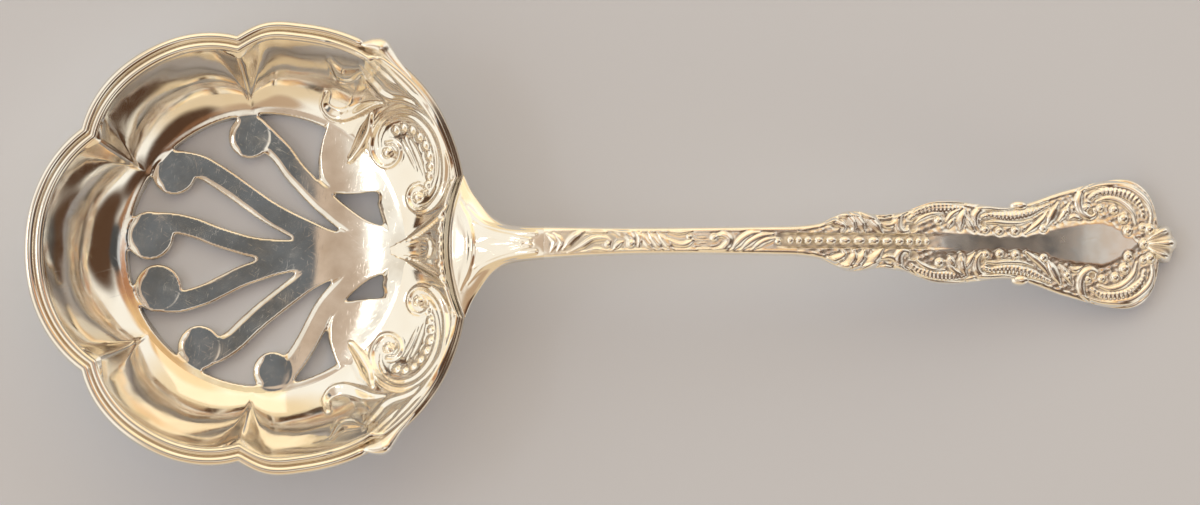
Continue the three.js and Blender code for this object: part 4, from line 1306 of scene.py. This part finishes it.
def makeTerminal():
    s = handleShape
    work = terminalWork
    t = np.linspace(0, 1, work["sections"] + 1)
    xs = terminalX + s["terminalLength"] * mix(t, np.sin(t * np.pi / 2), work["crowding"])
    xs = np.insert(xs, 1, terminalX + s["endGap"])
    width = halfWidth(xs)
    width[-1] = 0.0
    points, _, upward = handleSections(xs, work, width, archMiddle(xs), halfThickness(xs), s["squareness"])
    along = points[:, :, 0] - terminalX
    y = points[:, :, 1]
    relief = Relief(along, np.abs(y))
    relief.strokes(work)
    for x, out, radius in work["beads"]:
        relief.bead(x, out, radius, radius * work["beadHeight"])
    for x, out, radius in work["pits"]:
        relief.pit(x, out, radius, work["pitDepth"])
    relief.bead(*work["nose"])
    rise = relief.height(work["valley"])
    # plain edge band, then a sunk and punched ground, with the smooth panel raised again in the middle
    edge = width[:, None] - np.abs(y)
    ground = -work["ground"] * ease(edge - work["edgeWidth"], -0.1, 0.2)
    chasing = work["chasing"] * ripples(along, y, work["chasingWaves"])
    ground = ground + chasing * ease(-relief.top, -0.1, 0) * ease(edge, 0.2, 0.7)
    smooth = ease(panelWidth(along) - np.abs(y), *work["panelEdge"]) * ease(along, *work["panelStart"])
    rise = rise + mix(ground, 0.0, smooth)
    rise = rise - channelAcross(y) * (1 - ease(along, *pearlRow["channelEnd"]))
    rise = np.where((upward > 0)[None, :], rise * ease(edge, 0.0, 0.12), 0)
    bm = handleMesh(points, rise, work["shade"], closedEnds=(0,))
    layer = bm.verts.layers.float["raised"]
    nubX, nubLong, nubWide = work["nub"]
    x = terminalX + nubX
    out = float(halfWidth(np.array(x))) - work["nubInset"]
    level = float(archMiddle(np.array(x))) + work["nubRise"]
    size = Matrix.Diagonal((nubLong, nubWide, nubWide, 1 / mm)) * mm
    for side in (1, -1):
        place = Matrix.Translation(Vector((x, side * out, level)) * mm)
        nub = bmesh.ops.create_icosphere(bm, subdivisions=4, radius=1.0, matrix=place @ size)
        for v in nub["verts"]:
            v[layer] = work["nubShade"]
    finishPiece("scroll_terminal", bm, reliefSilver, "relief_silver", "terminal")


def makePearls():
    p = pearlRow
    bm = bmesh.new()
    for i in range(p["count"]):
        turn = 2 * math.pi * i / (p["count"] - 1)
        spacing = p["run"] / (p["count"] - 1) * (1 - p["crowding"] * math.cos(turn))
        along = p["first"] + p["run"] * (turn - p["crowding"] * math.sin(turn)) / (2 * math.pi)
        x = np.array(terminalX + along)
        place = Vector((float(x), 0, float(archMiddle(x) + halfThickness(x)) - p["seat"])) * mm
        size = Matrix.Diagonal((spacing * p["fill"] / 2, p["across"], p["across"], 1 / mm)) * mm
        bmesh.ops.create_icosphere(bm, subdivisions=3, radius=1.0, matrix=Matrix.Translation(place) @ size)
    layer = bm.verts.layers.float.new("raised")
    for v in bm.verts:
        v[layer] = p["shade"]
    finishPiece("pearls", bm, reliefSilver, "relief_silver", "pearl_row")


# Shell: a small scallop that fans out from its root
shellShape = {
    "length": 3.8,
    "halfAcross": 2.15,
    "root": 0.55,  # from the middle, as a share of the length
    "ribs": 5,
    "fan": 62.0,  # degrees to each side that the ribs spread over
    "rib": 0.2,
    "ribCrest": 0.7,  # below 1 squares the ribs off
    "ribSink": 0.2,  # and this much of their height is sunk into the dome
    "ribStart": (0.5, 1.8),  # the ribs grow over this stretch from the root
    "scallop": 0.08,
    "rise": 0.6,
    "edge": 0.3,  # height of the edge as a share of the whole
    "domeReach": 0.97,  # share of the dome's curve that is drawn
    "domeRound": 2.8,
    "rings": 48,
    "sides": 160,
    "shade": 0.6,
}


def makeShell():
    s = shellShape
    middle = nodeBox("shell_finial")[1].x - s["length"] / 2
    root = middle - s["length"] * s["root"]
    r = np.linspace(0, 1, s["rings"] + 1)[:, None]
    turn = np.linspace(0, 2 * np.pi, s["sides"] + 1)[None, :]
    x = middle + s["length"] / 2 * r * np.cos(turn)
    y = s["halfAcross"] * r * np.sin(turn)
    fan = np.degrees(np.arctan2(y, x - root)) / s["fan"]
    wave = np.cos(np.pi * fan * (s["ribs"] - 1))
    outer = ease(np.hypot(x - root, y), *s["ribStart"])
    shrink = 1 - s["scallop"] * (1 - wave) * outer * r ** 3
    topZ = handleShape["terminalThickness"] + s["rise"]
    dome = np.sqrt(np.clip(1 - (s["domeReach"] * r) ** s["domeRound"], 0, 1))
    rib = s["rib"] * (np.abs(wave) ** s["ribCrest"] * np.sign(wave) - s["ribSink"]) * outer
    z = topZ * mix(s["edge"], 1, dome) + rib * np.sqrt(np.clip(1.02 - r ** 4, 0, 1))
    top = np.stack([middle + (x - middle) * shrink, y * shrink, z], axis=2)
    side = top[-1:] * (1, 1, 0)
    underside = side * 0 + (middle, 0, 0)
    points = np.concatenate([top, side, underside])
    raised = np.concatenate([shadeOf(rib, s["shade"]), np.full((2, turn.size), 0.5)])
    bm = gridPiece(len(points) - 1, turn.size - 1, points, raised)
    finishPiece("shell_tip", bm, reliefSilver, "relief_silver", "shell_finial")


makeNeck()
makeStem()
makeTerminal()
makePearls()
makeShell()
print("pieces ready")


# Floor, world and lamps

stageLook = {
    "floor": "#dde5f6",
    "size": 30.0,  # metres, so that it fills low views too
    "drop": 0.1,  # mm below the plane that the spoon lies on
}


def makeStage():
    bm = bmesh.new()
    bmesh.ops.create_grid(bm, x_segments=1, y_segments=1, size=stageLook["size"])
    bmesh.ops.translate(bm, verts=bm.verts, vec=(0, 0, -stageLook["drop"] * mm))
    mesh = bpy.data.meshes.new("paleFloor")
    bm.to_mesh(mesh)
    bm.free()
    material = bpy.data.materials.new("paleFloor")
    material.use_nodes = True
    shader = material.node_tree.nodes["Principled BSDF"]
    shader.inputs["Base Color"].default_value = toLinear(stageLook["floor"])
    shader.inputs["Roughness"].default_value = 0.9
    mesh.materials.append(material)
    floor = bpy.data.objects.new("paleFloor", mesh)
    bpy.context.scene.collection.objects.link(floor)


# The room as patches of tone by direction: degrees round from the handle, degrees from overhead,
# full inside the first angle and gone past the second
roomLook = {
    "walls": "#f4efe4",
    "strength": 1.15,
    "patches": [
        {"colour": "#dac5a4", "round": -90, "down": 80, "within": (30, 52)},
        {"colour": "#ebd6b0", "round": 90, "down": 78, "within": (26, 48)},
        {"colour": "#553e2e", "round": -3, "down": 64, "within": (17, 28)},
        {"colour": "#50392a", "round": -50, "down": 44, "within": (15, 26)},
        {"colour": "#7a563d", "round": -72, "down": 27, "within": (7, 14)},
        {"colour": "#b79c80", "round": -108, "down": 38, "within": (10, 22)},
        {"colour": "#b6845f", "round": 25, "down": 34, "within": (7, 15)},
        {"colour": "#b98561", "round": 42, "down": 21, "within": (8, 14)},
        {"colour": "#a07656", "round": -15, "down": 31, "within": (5, 10)},
        {"colour": "#cab6a3", "round": 163, "down": 38, "within": (5, 11)},
        {"colour": "#e2bb86", "round": 58, "down": 38, "within": (10, 20)},
        {"colour": "#e6d0a6", "round": 107, "down": 28, "within": (9, 19)},
        {"colour": "#c2ae9b", "round": 180, "down": 20, "within": (12, 24)},
        {"colour": "#cdb8a4", "round": 152, "down": 15, "within": (6, 13)},
        {"colour": "#686a6c", "round": 148, "down": 9, "within": (6, 10)},
        {"colour": "#484848", "round": 4, "down": 40, "within": (7, 12)},
        {"colour": "#c6c6c6", "round": 8, "down": 30, "within": (4.5, 8)},
    ],
}


def makeRoom():
    world = bpy.data.worlds.new("room")
    world.use_nodes = True
    bpy.context.scene.world = world
    tree = world.node_tree
    direction = addNode(tree, "ShaderNodeTexCoord").outputs["Generated"]
    tone = toLinear(roomLook["walls"])
    for patch in roomLook["patches"]:
        turn = math.radians(patch["round"])
        down = math.radians(patch["down"])
        axis = (math.sin(down) * math.cos(turn), math.sin(down) * math.sin(turn), math.cos(down))
        inner, outer = (math.cos(math.radians(angle)) for angle in patch["within"])
        near = addNode(tree, "ShaderNodeVectorMath", {0: direction, 1: axis}, operation="DOT_PRODUCT")
        share = addNode(tree, "ShaderNodeMapRange", {
            "Value": near.outputs["Value"], "From Min": outer, "From Max": inner,
        }, interpolation_type="SMOOTHSTEP")
        tone = addNode(tree, "ShaderNodeMix", {
            "Factor": share.outputs["Result"], "A": tone, "B": toLinear(patch["colour"]),
        }, data_type="RGBA").outputs["Result"]
    background = tree.nodes["Background"]
    tree.links.new(tone, background.inputs["Color"])
    background.inputs["Strength"].default_value = roomLook["strength"]


# Two soft boxes, in metres and watts
lamps = [
    {"name": "keyBox", "at": (-0.5, 0.05, 0.45), "aim": (-0.02, 0, 0), "size": (0.16, 0.04),
     "power": 0.11, "tint": "#fffaf2"},
    {"name": "softBox", "at": (0, 0.5, 0.42), "aim": (0, 0, 0), "size": (0.6, 0.5),
     "power": 0.34, "tint": "#fff3e0"},
]


def makeLamps():
    for lamp in lamps:
        data = bpy.data.lights.new(lamp["name"], "AREA")
        data.shape = "RECTANGLE"
        data.size, data.size_y = lamp["size"]
        data.energy = lamp["power"]
        data.color = toLinear(lamp["tint"])[:3]
        light = bpy.data.objects.new(lamp["name"], data)
        bpy.context.scene.collection.objects.link(light)
        place = Vector(lamp["at"])
        turn = (place - Vector(lamp["aim"])).to_track_quat("Z", "Y")
        light.matrix_world = Matrix.Translation(place) @ turn.to_matrix().to_4x4()


makeStage()
makeRoom()
makeLamps()
bpy.context.scene.view_settings.view_transform = "Standard"
print("stage and light ready")

bpy.context.view_layer.update()
